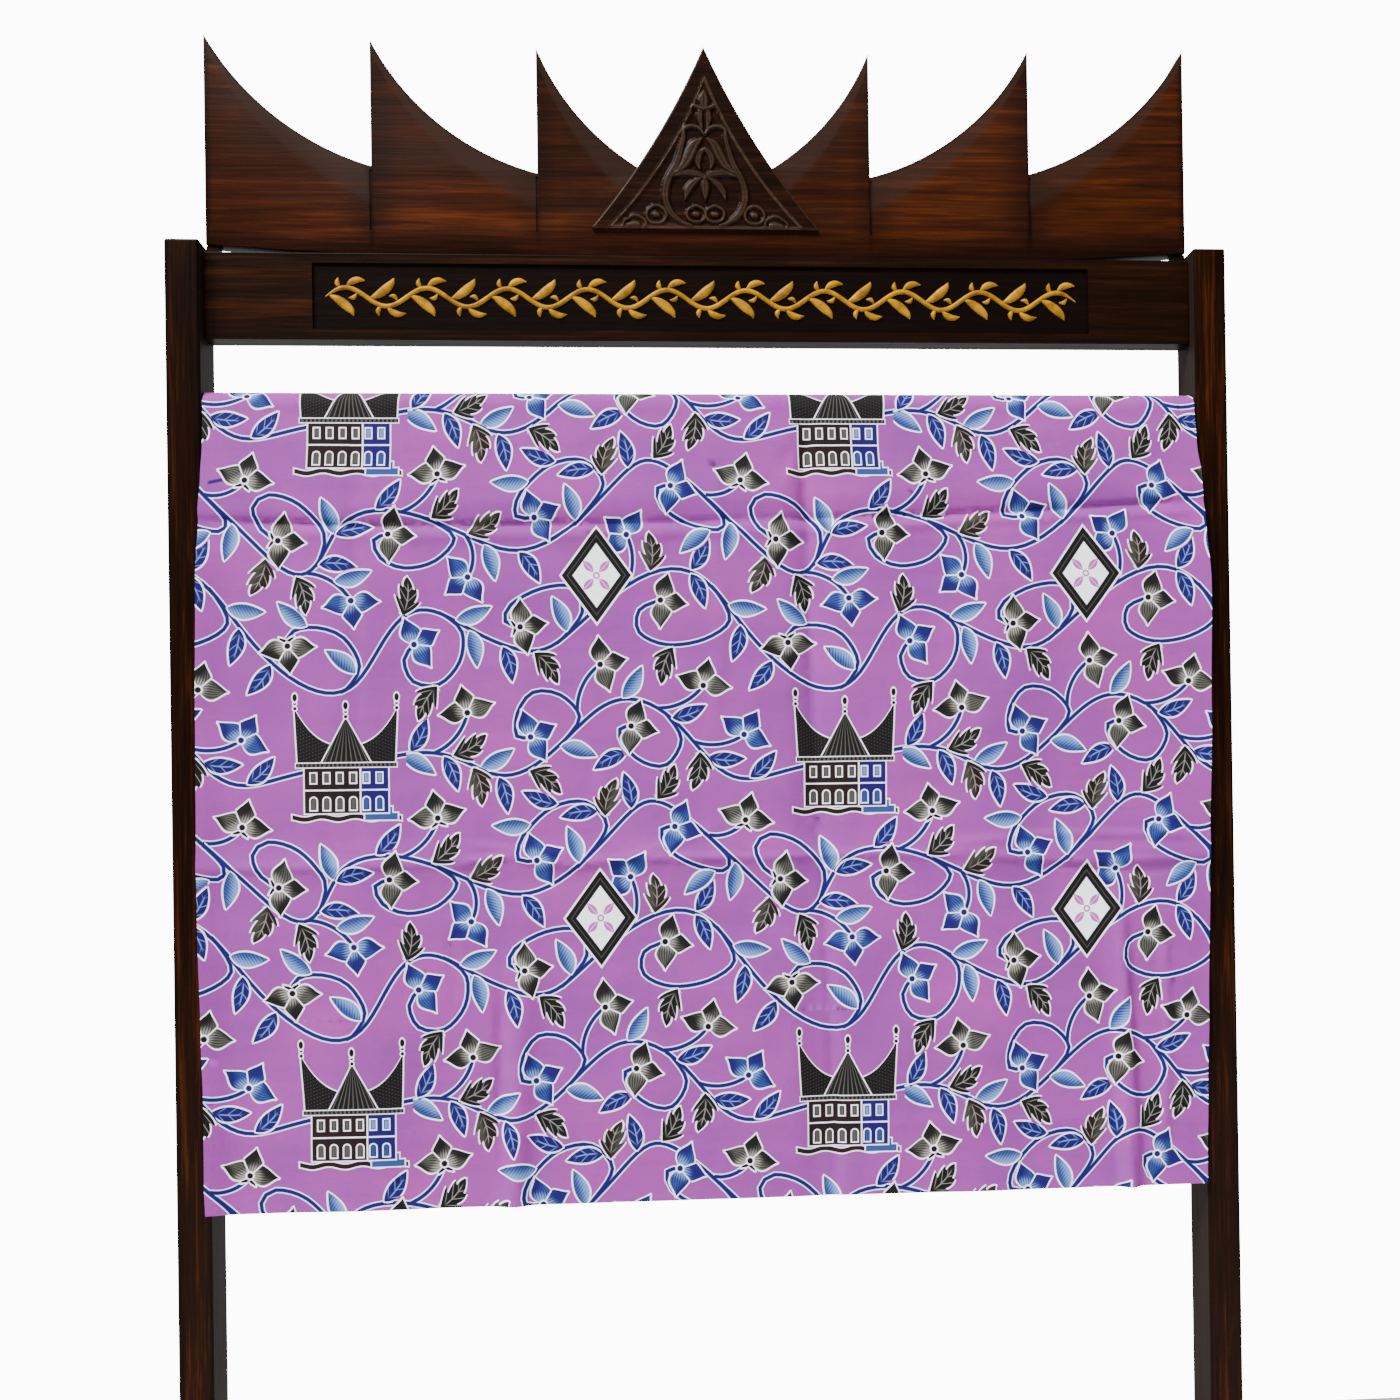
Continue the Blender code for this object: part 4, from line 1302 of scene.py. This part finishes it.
def crown_painted_shade(surface, place):
    """Painted shade: darker along the horns' edges, beside the notches, at the foot and round the triangle.
    """
    x, z = surface.parts(place)[::2]
    wander = surface.noise(surface.stretched(place, (9.0, 9.0, 16.0)), 1.0, 3.0, 0.55)
    shade_mask = x.line(0.13, 0.10) * 0.45
    for horn in HORNS:
        shade_mask = shade_mask.most((abs(x) - horn["side"]).line(0.001, 0.009) * 0.8)
    for horn in HORNS[:2]:
        shade_mask = shade_mask.most((abs(x) - horn["notch"]).line(0.0, 0.045) * 0.6)
    shade_mask = shade_mask.most(horn_band(surface, place, 0.003, 0.004) * 0.75)
    shade_mask = shade_mask.most((1 - (z - CROWN_FOOT).soft(0.004, 0.040)) * 0.75)
    return (shade_mask * (0.35 + 1.1 * wander)).least(0.92)


def arc(start, end, bow, steps):
    """Points of an arc that sags below its chord by a share of the chord's length."""
    (x0, z0), (x1, z1) = start, end
    chord = math.dist(start, end)
    radius, half = arc_circle(start, end, bow)[1:]
    points = []
    for step in range(steps + 1):
        turn = half * (2.0 * step / steps - 1.0)
        along = 0.5 + radius * math.sin(turn) / chord
        sag = (radius * math.cos(turn) - radius * math.cos(half)) / chord
        normal_x = (z1 - z0) * math.copysign(1.0, x1 - x0)
        normal_z = -abs(x1 - x0)
        points.append((x0 + along * (x1 - x0) + sag * normal_x, z0 + along * (z1 - z0) + sag * normal_z))
    return points


def mirrored(left):
    """A left half from its foot to the middle, closed by its mirror image."""
    return left + [(-x, z) for x, z in reversed(left[:-1])]


def pediment_outline(half, foot, top, bow):
    """A triangle with hollow slopes."""
    return mirrored(arc((-half, foot), (0.0, top), bow, 2 * ARC_STEPS))


def crown_outline():
    """The board's outline: a relieved foot, three horns a side and the middle triangle."""
    left = [(-CROWN_HALF + RELIEF_LENGTH, 0.0), (-CROWN_HALF, END_RELIEF)]
    for horn in HORNS:
        left += arc((-horn["side"], horn["tip"]), (-horn["notch"], horn["low"]), horn["bow"], ARC_STEPS)
    inner = -HORNS[-1]["notch"] + MEETING_GAP
    slope = arc((-PEDIMENT_HALF, PEDIMENT_FOOT), (0.0, APEX_HEIGHT), PEDIMENT_BOW, 2 * ARC_STEPS)
    return mirrored(left + [point for point in slope if point[0] > inner])


def piece_of(name, shape, material=None, sharp=180):
    """A named piece from a shape, smooth but for the edges that are sharper than an angle in degrees."""
    mesh = bpy.data.meshes.new(name)
    shape.to_mesh(mesh)
    shape.free()
    if material:
        mesh.shade_smooth()
        mesh.set_sharp_from_angle(angle=math.radians(sharp))
        mesh.materials.append(material)
    return link(name, mesh)


def horned_board():
    """The crown board before its edges are eased and its grooves are cut."""
    shape = bmesh.new()
    front = [shape.verts.new((x, -CROWN_DEPTH / 2, CROWN_FOOT + z)) for x, z in crown_outline()]
    face = shape.faces.new(front)
    if face.normal.dot(Vector((0.0, -1.0, 0.0))) < 0.0:
        face.normal_flip()
    grown = bmesh.ops.extrude_face_region(shape, geom=[face])
    moved = [part for part in grown["geom"] if isinstance(part, bmesh.types.BMVert)]
    bmesh.ops.translate(shape, vec=(0.0, CROWN_DEPTH, 0.0), verts=moved)
    bmesh.ops.recalc_face_normals(shape, faces=shape.faces)
    return piece_of("horned_board", shape)


def groove_cutter(horn, side):
    """A thin box that cuts the upright groove below a horn's notch."""
    shape = bmesh.new()
    bmesh.ops.create_cube(shape, size=1.0)
    height = horn["low"] - GROOVE_TOP - GROOVE_FOOT
    bmesh.ops.scale(shape, vec=(GROOVE_WIDTH, 2 * GROOVE_DEPTH, height), verts=shape.verts)
    place = (side * (horn["notch"] + GROOVE_SHIFT), -CROWN_DEPTH / 2, CROWN_FOOT + GROOVE_FOOT + height / 2)
    bmesh.ops.translate(shape, vec=place, verts=shape.verts)
    return piece_of("groove_cutter", shape)


def apply_modifiers(piece):
    """Turn a piece's modifiers into its mesh."""
    bpy.context.view_layer.update()
    seen = piece.evaluated_get(bpy.context.evaluated_depsgraph_get())
    mesh = bpy.data.meshes.new_from_object(seen)
    piece.modifiers.clear()
    piece.data = mesh


def make_crown(wood):
    """The horned board with eased edges and its four upright grooves."""
    crown = horned_board()
    ease = crown.modifiers.new("eased edges", "BEVEL")
    ease.width = CROWN_ROUND
    ease.segments = 3
    ease.limit_method = "ANGLE"
    ease.angle_limit = math.radians(50)
    cutters = [groove_cutter(horn, side) for horn in HORNS[:2] for side in (-1, 1)]
    for cutter in cutters:
        cut = crown.modifiers.new("groove", "BOOLEAN")
        cut.operation = "DIFFERENCE"
        cut.solver = "EXACT"
        cut.object = cutter
    apply_modifiers(crown)
    for cutter in cutters:
        bpy.data.objects.remove(cutter)
    crown.data.shade_smooth()
    crown.data.set_sharp_from_angle(angle=math.radians(32))
    crown.data.materials.clear()
    crown.data.materials.append(wood)
    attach(crown, "root")
    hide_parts("crown_board")


# Carving in the sunk field of the front piece, drawn for its right half. Each stroke is its lift and its run
# of (x, height, half width), in millimetres. Scrolls are open rings about an eye.
FIELD = {"half": 0.1105, "foot": 0.0322, "top": 0.2055, "bow": 0.052}
FIELD_SINK = 0.0016
EDGE_FALL = 0.0010
EDGE_REACH = 0.0016
LINE_CUT = 0.0011
CARVING_PITCH = 0.0011
STROKES = {
    "lyre": (3, (1.2, 139.5, 2.2), (6, 146, 2.8), (15, 148.5, 3), (23.5, 144.5, 3), (24.5, 133, 3.6),
        (32, 106, 5), (43, 84, 5.6), (45.5, 64, 5.6), (39, 48, 5), (27, 38, 3.4), (16, 34.5, 1.6)),
    "inner leaf": (3.4, (3, 134, 1.8), (11, 127, 7.4), (17, 115, 8.4), (24, 103, 6.6), (34, 94, 1.4)),
    "crossed leaf": (2.6, (0, 123, 2), (6, 116, 5), (8, 107, 4.6), (6, 99, 1.4)),
    "garland": (3, (0, 90, 3.4), (11, 94, 5.2), (23, 94.5, 4.4), (35, 91, 1.4)),
    "hanging leaf": (2.8, (4, 89, 1.6), (13, 83, 5), (20, 74, 5.2), (23, 64, 1.2)),
    "middle leaf": (3.2, (0, 90, 2), (0, 81, 6.6), (0, 72, 5.6), (0, 63, 1)),
    "foot scroll": (3, (8.8, 47, 10.8), (10.8, 47.5, 11.6), (12.8, 47, 10.8)),
    "side scroll": (2.6, (54.5, 46, 11.8), (56.2, 47, 12.6), (58, 46, 11.8)),
    "low scroll": (2.4, (77, 35, 11), (81, 36, 11.8), (88, 34.5, 8)),
    "bud": (3.2, (0, 190, 1), (0, 182, 6.6), (0, 175, 8), (0, 169, 4)),
    "bud collar": (3, (0, 168, 2.4), (7, 170, 3), (13, 172.5, 2.6), (15.5, 167, 2.2), (15, 162, 1.2)),
    "bud stem": (2.6, (4.5, 165, 4.2), (5, 156, 4.6), (3, 147, 2)),
}


def in_metres(run):
    """A run that is given in millimetres, in metres."""
    return [tuple(size / 1000 for size in place) for place in run]


def carved_height(places, outline, field):
    """The front piece's height above its own flat face and where it takes a painted highlight, at places in X
    and Z.
    """
    to_edge = to_path(places, outline + [outline[0]])[0]
    to_line = to_path(places, field + [field[0]])[0]
    inside = in_outline(places, field)
    folded = np.column_stack([np.abs(places[:, 0]), places[:, 1]])
    height = np.where(inside, -FIELD_SINK * np.clip(to_line / 0.006, 0.0, 1.0) ** 0.7, 0.0)
    carving = np.full(len(places), -1.0)
    # ridge: the crests of the strokes, where a painted highlight falls
    ridge = np.zeros(len(places))
    for label, (lift, *run) in STROKES.items():
        path = smooth_path(in_metres(run), 0.0016)
        lengths = np.cumsum([0.0] + [math.dist(a[:2], b[:2]) for a, b in zip(path, path[1:])])
        away, share = to_path(folded, path)
        half = np.interp(share * lengths[-1], lengths, [place[2] for place in path])
        aside = away / half
        groove = 0.22 * np.clip(1.0 - aside / 0.28, 0.0, 1.0) * (half > 0.0034)
        if label.endswith("scroll"):
            aside = np.minimum(np.abs(aside - 0.80) / 0.20, aside / 0.34)
            groove = 0.0
        dome = np.sqrt(np.clip(1.0 - aside ** 2, 0.0, 1.0))
        carving = np.maximum(carving, np.where(dome > 0.0, -FIELD_SINK + lift / 1000 * (dome - groove), -1.0))
        ridge = np.maximum(ridge, np.clip((dome - 0.80) / 0.20, 0.0, 1.0) * (1.0 - 4.0 * groove) * 0.3)
    height = np.where(inside & (carving > height), carving, height)
    height -= LINE_CUT * np.clip(1.0 - to_line / 0.0010, 0.0, 1.0)
    near_edge = np.clip(1.0 - to_edge / EDGE_REACH, 0.0, 1.0)
    # Painted highlight along the field's cut line, near the piece's edges and on the crests
    worn = 0.5 * np.clip(1.0 - np.abs(to_line - 0.0006) / 0.0010, 0.0, 1.0)
    worn = np.maximum(np.maximum(worn, 0.3 * near_edge), np.where(inside, ridge, 0.0))
    return height - EDGE_FALL * near_edge ** 2, worn


def in_outline(places, outline):
    """Whether places are inside a closed outline."""
    inside = np.zeros(len(places), bool)
    for (x0, z0), (x1, z1) in zip(outline, outline[1:] + outline[:1]):
        crosses = (z0 > places[:, 1]) != (z1 > places[:, 1])
        slope = (x1 - x0) / (z1 - z0) if z1 != z0 else 0.0
        inside ^= crosses & (places[:, 0] < x0 + slope * (places[:, 1] - z0))
    return inside


def make_pediment(wood):
    """The carved triangular front piece."""
    outline = counterclockwise(pediment_outline(PEDIMENT_HALF, PEDIMENT_FOOT, APEX_HEIGHT, PEDIMENT_BOW))
    field = pediment_outline(FIELD["half"], FIELD["foot"], FIELD["top"], FIELD["bow"])
    columns = np.arange(-PEDIMENT_HALF, PEDIMENT_HALF, CARVING_PITCH)
    rows = np.arange(PEDIMENT_FOOT, APEX_HEIGHT, CARVING_PITCH)
    grid = np.array([(x, z) for z in rows for x in columns])
    grid = grid[in_outline(grid, outline)]
    near_edge = to_path(grid, outline + [outline[0]])[0]
    near_line = to_path(grid, field + [field[0]])[0]
    grid = grid[(near_edge > 0.0007) & (near_line > 0.0005)]
    line = [place for place in smooth_path(field + [field[0]], 0.002) if place[1] > PEDIMENT_FOOT]
    points = [Vector(point) for point in outline + line + [tuple(place) for place in grid]]
    result = delaunay_2d_cdt(points, [], [list(range(len(outline)))], 1, 1e-7)
    places = np.array([tuple(place) for place in result[0]])
    triangles = [triangle for triangle, origin in zip(result[2], result[5]) if origin]
    height, worn = carved_height(places, outline, field)
    front_y = -CROWN_DEPTH / 2 - SEAT_GAP - PEDIMENT_DEPTH
    shape = bmesh.new()
    # Each corner keeps its painted highlight for the carved timber
    layer = shape.verts.layers.float_vector.new("worn")
    front = [shape.verts.new((x, front_y - lift, CROWN_FOOT + z)) for (x, z), lift in zip(places, height)]
    for corner, share in zip(front, worn):
        corner[layer] = (share, share, share)
    for triangle in triangles:
        shape.faces.new([front[index] for index in triangle])
    rim = [edge for edge in shape.edges if edge.is_boundary]
    grown = bmesh.ops.extrude_edge_only(shape, edges=rim)
    for part in grown["geom"]:
        if isinstance(part, bmesh.types.BMVert):
            part.co.y = front_y + PEDIMENT_DEPTH
            part[layer] = (0.0, 0.0, 0.0)
    back = [part for part in grown["geom"] if isinstance(part, bmesh.types.BMEdge)]
    bmesh.ops.contextual_create(shape, geom=back)
    bmesh.ops.recalc_face_normals(shape, faces=shape.faces)
    carving = piece_of("carved_triangle", shape, wood, 50)
    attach(carving, "root")
    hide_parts("crown_pediment")


# Gilded running vine in the rail's sunk panel. Its leaves are drawn for one crest and turned over for the
# next, each as a run of (x, height, half width) in millimetres.
CRESTS = 19
ORNAMENT_MARGIN = 0.014
ORNAMENT_HEIGHT = 0.0024
VINE_SWING = 0.0105
VINE_HALF = 0.0027
RING = ((-1.0, 0.0), (-0.80, 0.70), (-0.30, 1.0), (0.30, 1.0), (0.80, 0.70), (1.0, 0.0))
ORNAMENT_LEAVES = (
    ((-17.5, 1, 1.2), (-10.5, -2, 4), (-1.5, -8.5, 5.2), (6, -16, 3.6), (8.5, -21.5, 0.5)),
    ((12, 3.5, 0.8), (8.5, -1, 2.6), (3, -1, 0.5)),
    ((1, 12, 1), (6.5, 17, 3.6), (13.5, 19.5, 3.4), (21.5, 18.5, 0.5)),
    ((-6, 10, 0.8), (-9.5, 15.5, 3), (-8.5, 21.5, 0.5)),
)


def add_stroke(shape, path, foot_y, height):
    """A raised stroke of varying width, closed by a flat back."""
    rings = []
    for number, (x, z, half) in enumerate(path):
        before, after = path[max(number - 1, 0)], path[min(number + 1, len(path) - 1)]
        angle = math.atan2(after[1] - before[1], after[0] - before[0])
        rings.append([
            shape.verts.new((
                x - math.sin(angle) * side * half,
                foot_y - height * rise * min(1.0, half / 0.0024),
                z + math.cos(angle) * side * half))
            for side, rise in RING])
    for ring, following in zip(rings, rings[1:]):
        for number in range(len(RING)):
            other = (number + 1) % len(RING)
            shape.faces.new((ring[number], ring[other], following[other], following[number]))
    shape.faces.new(rings[0])
    shape.faces.new(rings[-1][::-1])


def make_ornament(gilding):
    """The running vine, raised in the sunk panel of the rail."""
    long = PANEL_WIDTH - 2 * ORNAMENT_MARGIN
    pitch = long / CRESTS
    floor_y = -RAIL_DEPTH / 2 + PANEL_DEPTH - 0.0001
    shape = bmesh.new()
    stem = []
    for step in range(CRESTS * 12 + 1):
        share = step / (CRESTS * 12)
        half = VINE_HALF * min(1.0, 0.2 + 40.0 * min(share, 1.0 - share))
        swing = VINE_SWING * math.sin(math.pi * CRESTS * share)
        stem.append(((share - 0.5) * long, RAIL_MIDDLE + swing, half))
    add_stroke(shape, stem, floor_y, ORNAMENT_HEIGHT)
    for crest in range(CRESTS):
        middle_x = (crest + 0.5) * pitch - long / 2
        side = 1 if crest % 2 == 0 else -1
        for leaf in ORNAMENT_LEAVES:
            run = [(middle_x + x, RAIL_MIDDLE + side * z, half) for x, z, half in in_metres(leaf)]
            add_stroke(shape, smooth_path(run, 0.0022), floor_y, ORNAMENT_HEIGHT)
    bmesh.ops.recalc_face_normals(shape, faces=shape.faces)
    ornament = piece_of("gilded_ornament", shape, gilding, 60)
    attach(ornament, "root")


def gilding_material():
    """Old gold paint, with a little wear."""
    surface = Surface("gold paint", Specular_IOR_Level=0.15)
    place = surface.place()
    cloud = surface.noise(place, 60.0, 4.0, 0.6)
    brush = surface.noise(surface.stretched(place, (240.0, 240.0, 700.0)), 1.0, 3.0, 0.6)
    colour = surface.mix(cloud.soft(0.35, 0.70), paint(158, 112, 2), paint(112, 76, 4))
    colour = surface.mix((brush * cloud).soft(0.36, 0.44) * 0.5, colour, paint(70, 44, 10))
    surface.drive("Base Color", colour)
    surface.drive("Roughness", 0.34 + 0.3 * brush)
    surface.drive("Metallic", 0.05 + 0.10 * cloud)
    surface.bump(brush, 0.0006, 0.5)
    return surface.material


def dress_stand():
    """New finishes for the stand's own solids, and its finer crown, carving and ornament."""
    # The posts, rail and crown get painted shade, and the crown a painted reflection as well
    post = varnished_wood("post timber", "z", POST_TONES, post_painted_shade, post_dull)
    rail = varnished_wood("rail timber", "x", RAIL_TONES, rail_panel_and_shade)
    crown = varnished_wood("crown timber", "x", CROWN_TONES, crown_painted_shade, crown_painted_reflection)
    # The carving's timber carries a painted highlight
    carved = varnished_wood("carved timber", "x", CARVED_TONES, with_highlight=True)
    plain = varnished_wood("plain timber", "x", PLAIN_TONES)
    finishes = {
        "post_left": post, "post_right": post, "head_rail": rail, "hanging_bar": plain,
        "lower_stretcher": plain, "foot_left": plain, "foot_right": plain,
        "crown_peg_left": crown, "crown_peg_right": crown,
    }
    for name, timber in finishes.items():
        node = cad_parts[name]
        node.data.materials.clear()
        node.data.materials.append(timber)
    make_crown(crown)
    make_pediment(carved)
    make_ornament(gilding_material())


def make_floor():
    """A pale floor under the stand and in front of it."""
    shape = bmesh.new()
    bmesh.ops.create_grid(shape, x_segments=8, y_segments=8, size=1.0)
    for corner in shape.verts:
        corner.co = Vector((FLOOR_HALF[0] * corner.co.x, FLOOR_HALF[1] * corner.co.y + FLOOR_MIDDLE, 0.0))
    surface = Surface("pale floor", Roughness=0.9, Specular_IOR_Level=0.1)
    cloud = surface.noise(surface.place(), 0.8, 2.0, 0.5)
    surface.drive("Base Color", surface.mix(cloud, paint(212, 212, 210), paint(217, 217, 216)))
    floor = piece_of("studio_floor", shape, surface.material)


def add_light(name, kind, strength, facing, place=(0.0, 0.0, 0.0), **settings):
    """A white lamp of one kind that faces along a direction."""
    lamp = bpy.data.lights.new(name, kind)
    lamp.energy = strength
    for setting, value in settings.items():
        setattr(lamp, setting, value)
    light = bpy.data.objects.new(name, lamp)
    light.location = place
    light.rotation_euler = Vector(facing).to_track_quat("-Z", "Y").to_euler()
    bpy.context.scene.collection.objects.link(light)


def light_studio():
    """Soft light from above and in front, and a surround that is pale to the camera."""
    world = bpy.data.worlds.new("pale surround")
    world.use_nodes = True
    bpy.context.scene.world = world
    sky = Nodes(world.node_tree)
    y, z = sky.parts(sky.node("ShaderNodeTexCoord"))[1:]
    seen = sky.node("ShaderNodeLightPath")
    glow = FRONT_GLOW + TOP_GLOW * z.most(0.0) + BACK_GLOW * y.most(0.0)
    background = world.node_tree.nodes["Background"]
    background.inputs["Color"].default_value = (1.0, 1.0, 1.0, 1.0)
    sky.feed(background.inputs["Strength"], seen * (SURROUND - glow) + glow)
    add_light("wide top light", "SUN", WIDE_LIGHT, WIDE_FACING, angle=math.radians(24))
    for name, power, size, place, target in AREA_LIGHTS:
        facing = Vector(target) - Vector(place)
        add_light(name, "AREA", power, facing, place, shape="SQUARE", size=size)


def set_camera():
    """The camera at the photograph's place and angle."""
    lens = bpy.data.cameras.new("camera")
    lens.lens = CAMERA_LENS
    lens.sensor_width = 36.0
    lens.shift_x, lens.shift_y = CAMERA_SHIFT
    camera = bpy.data.objects.new("camera", lens)
    sin_yaw, cos_yaw = math.sin(CAMERA_YAW), math.cos(CAMERA_YAW)
    sin_pitch, cos_pitch = math.sin(CAMERA_PITCH), math.cos(CAMERA_PITCH)
    forward = Vector((sin_yaw * cos_pitch, cos_yaw * cos_pitch, sin_pitch))
    level = Vector((cos_yaw, -sin_yaw, 0.0))
    above = level.cross(forward)
    right = level * math.cos(CAMERA_ROLL) + above * math.sin(CAMERA_ROLL)
    up = above * math.cos(CAMERA_ROLL) - level * math.sin(CAMERA_ROLL)
    turn = Matrix((right, up, -forward)).transposed()
    camera.matrix_world = Matrix.Translation(CAMERA_PLACE) @ turn.to_4x4()
    bpy.context.scene.collection.objects.link(camera)
    bpy.context.scene.camera = camera


def main():
    set_camera()
    make_floor()
    light_studio()
    dress_stand()
    make_cloth({
        "ground": ground_surface(),
        "house": house_surface(),
        "lozenge": lozenge_surface(),
        "flower": flower_surface(),
        "toothed": toothed_surface(),
        "leaf": leaf_surface(),
    })


main()
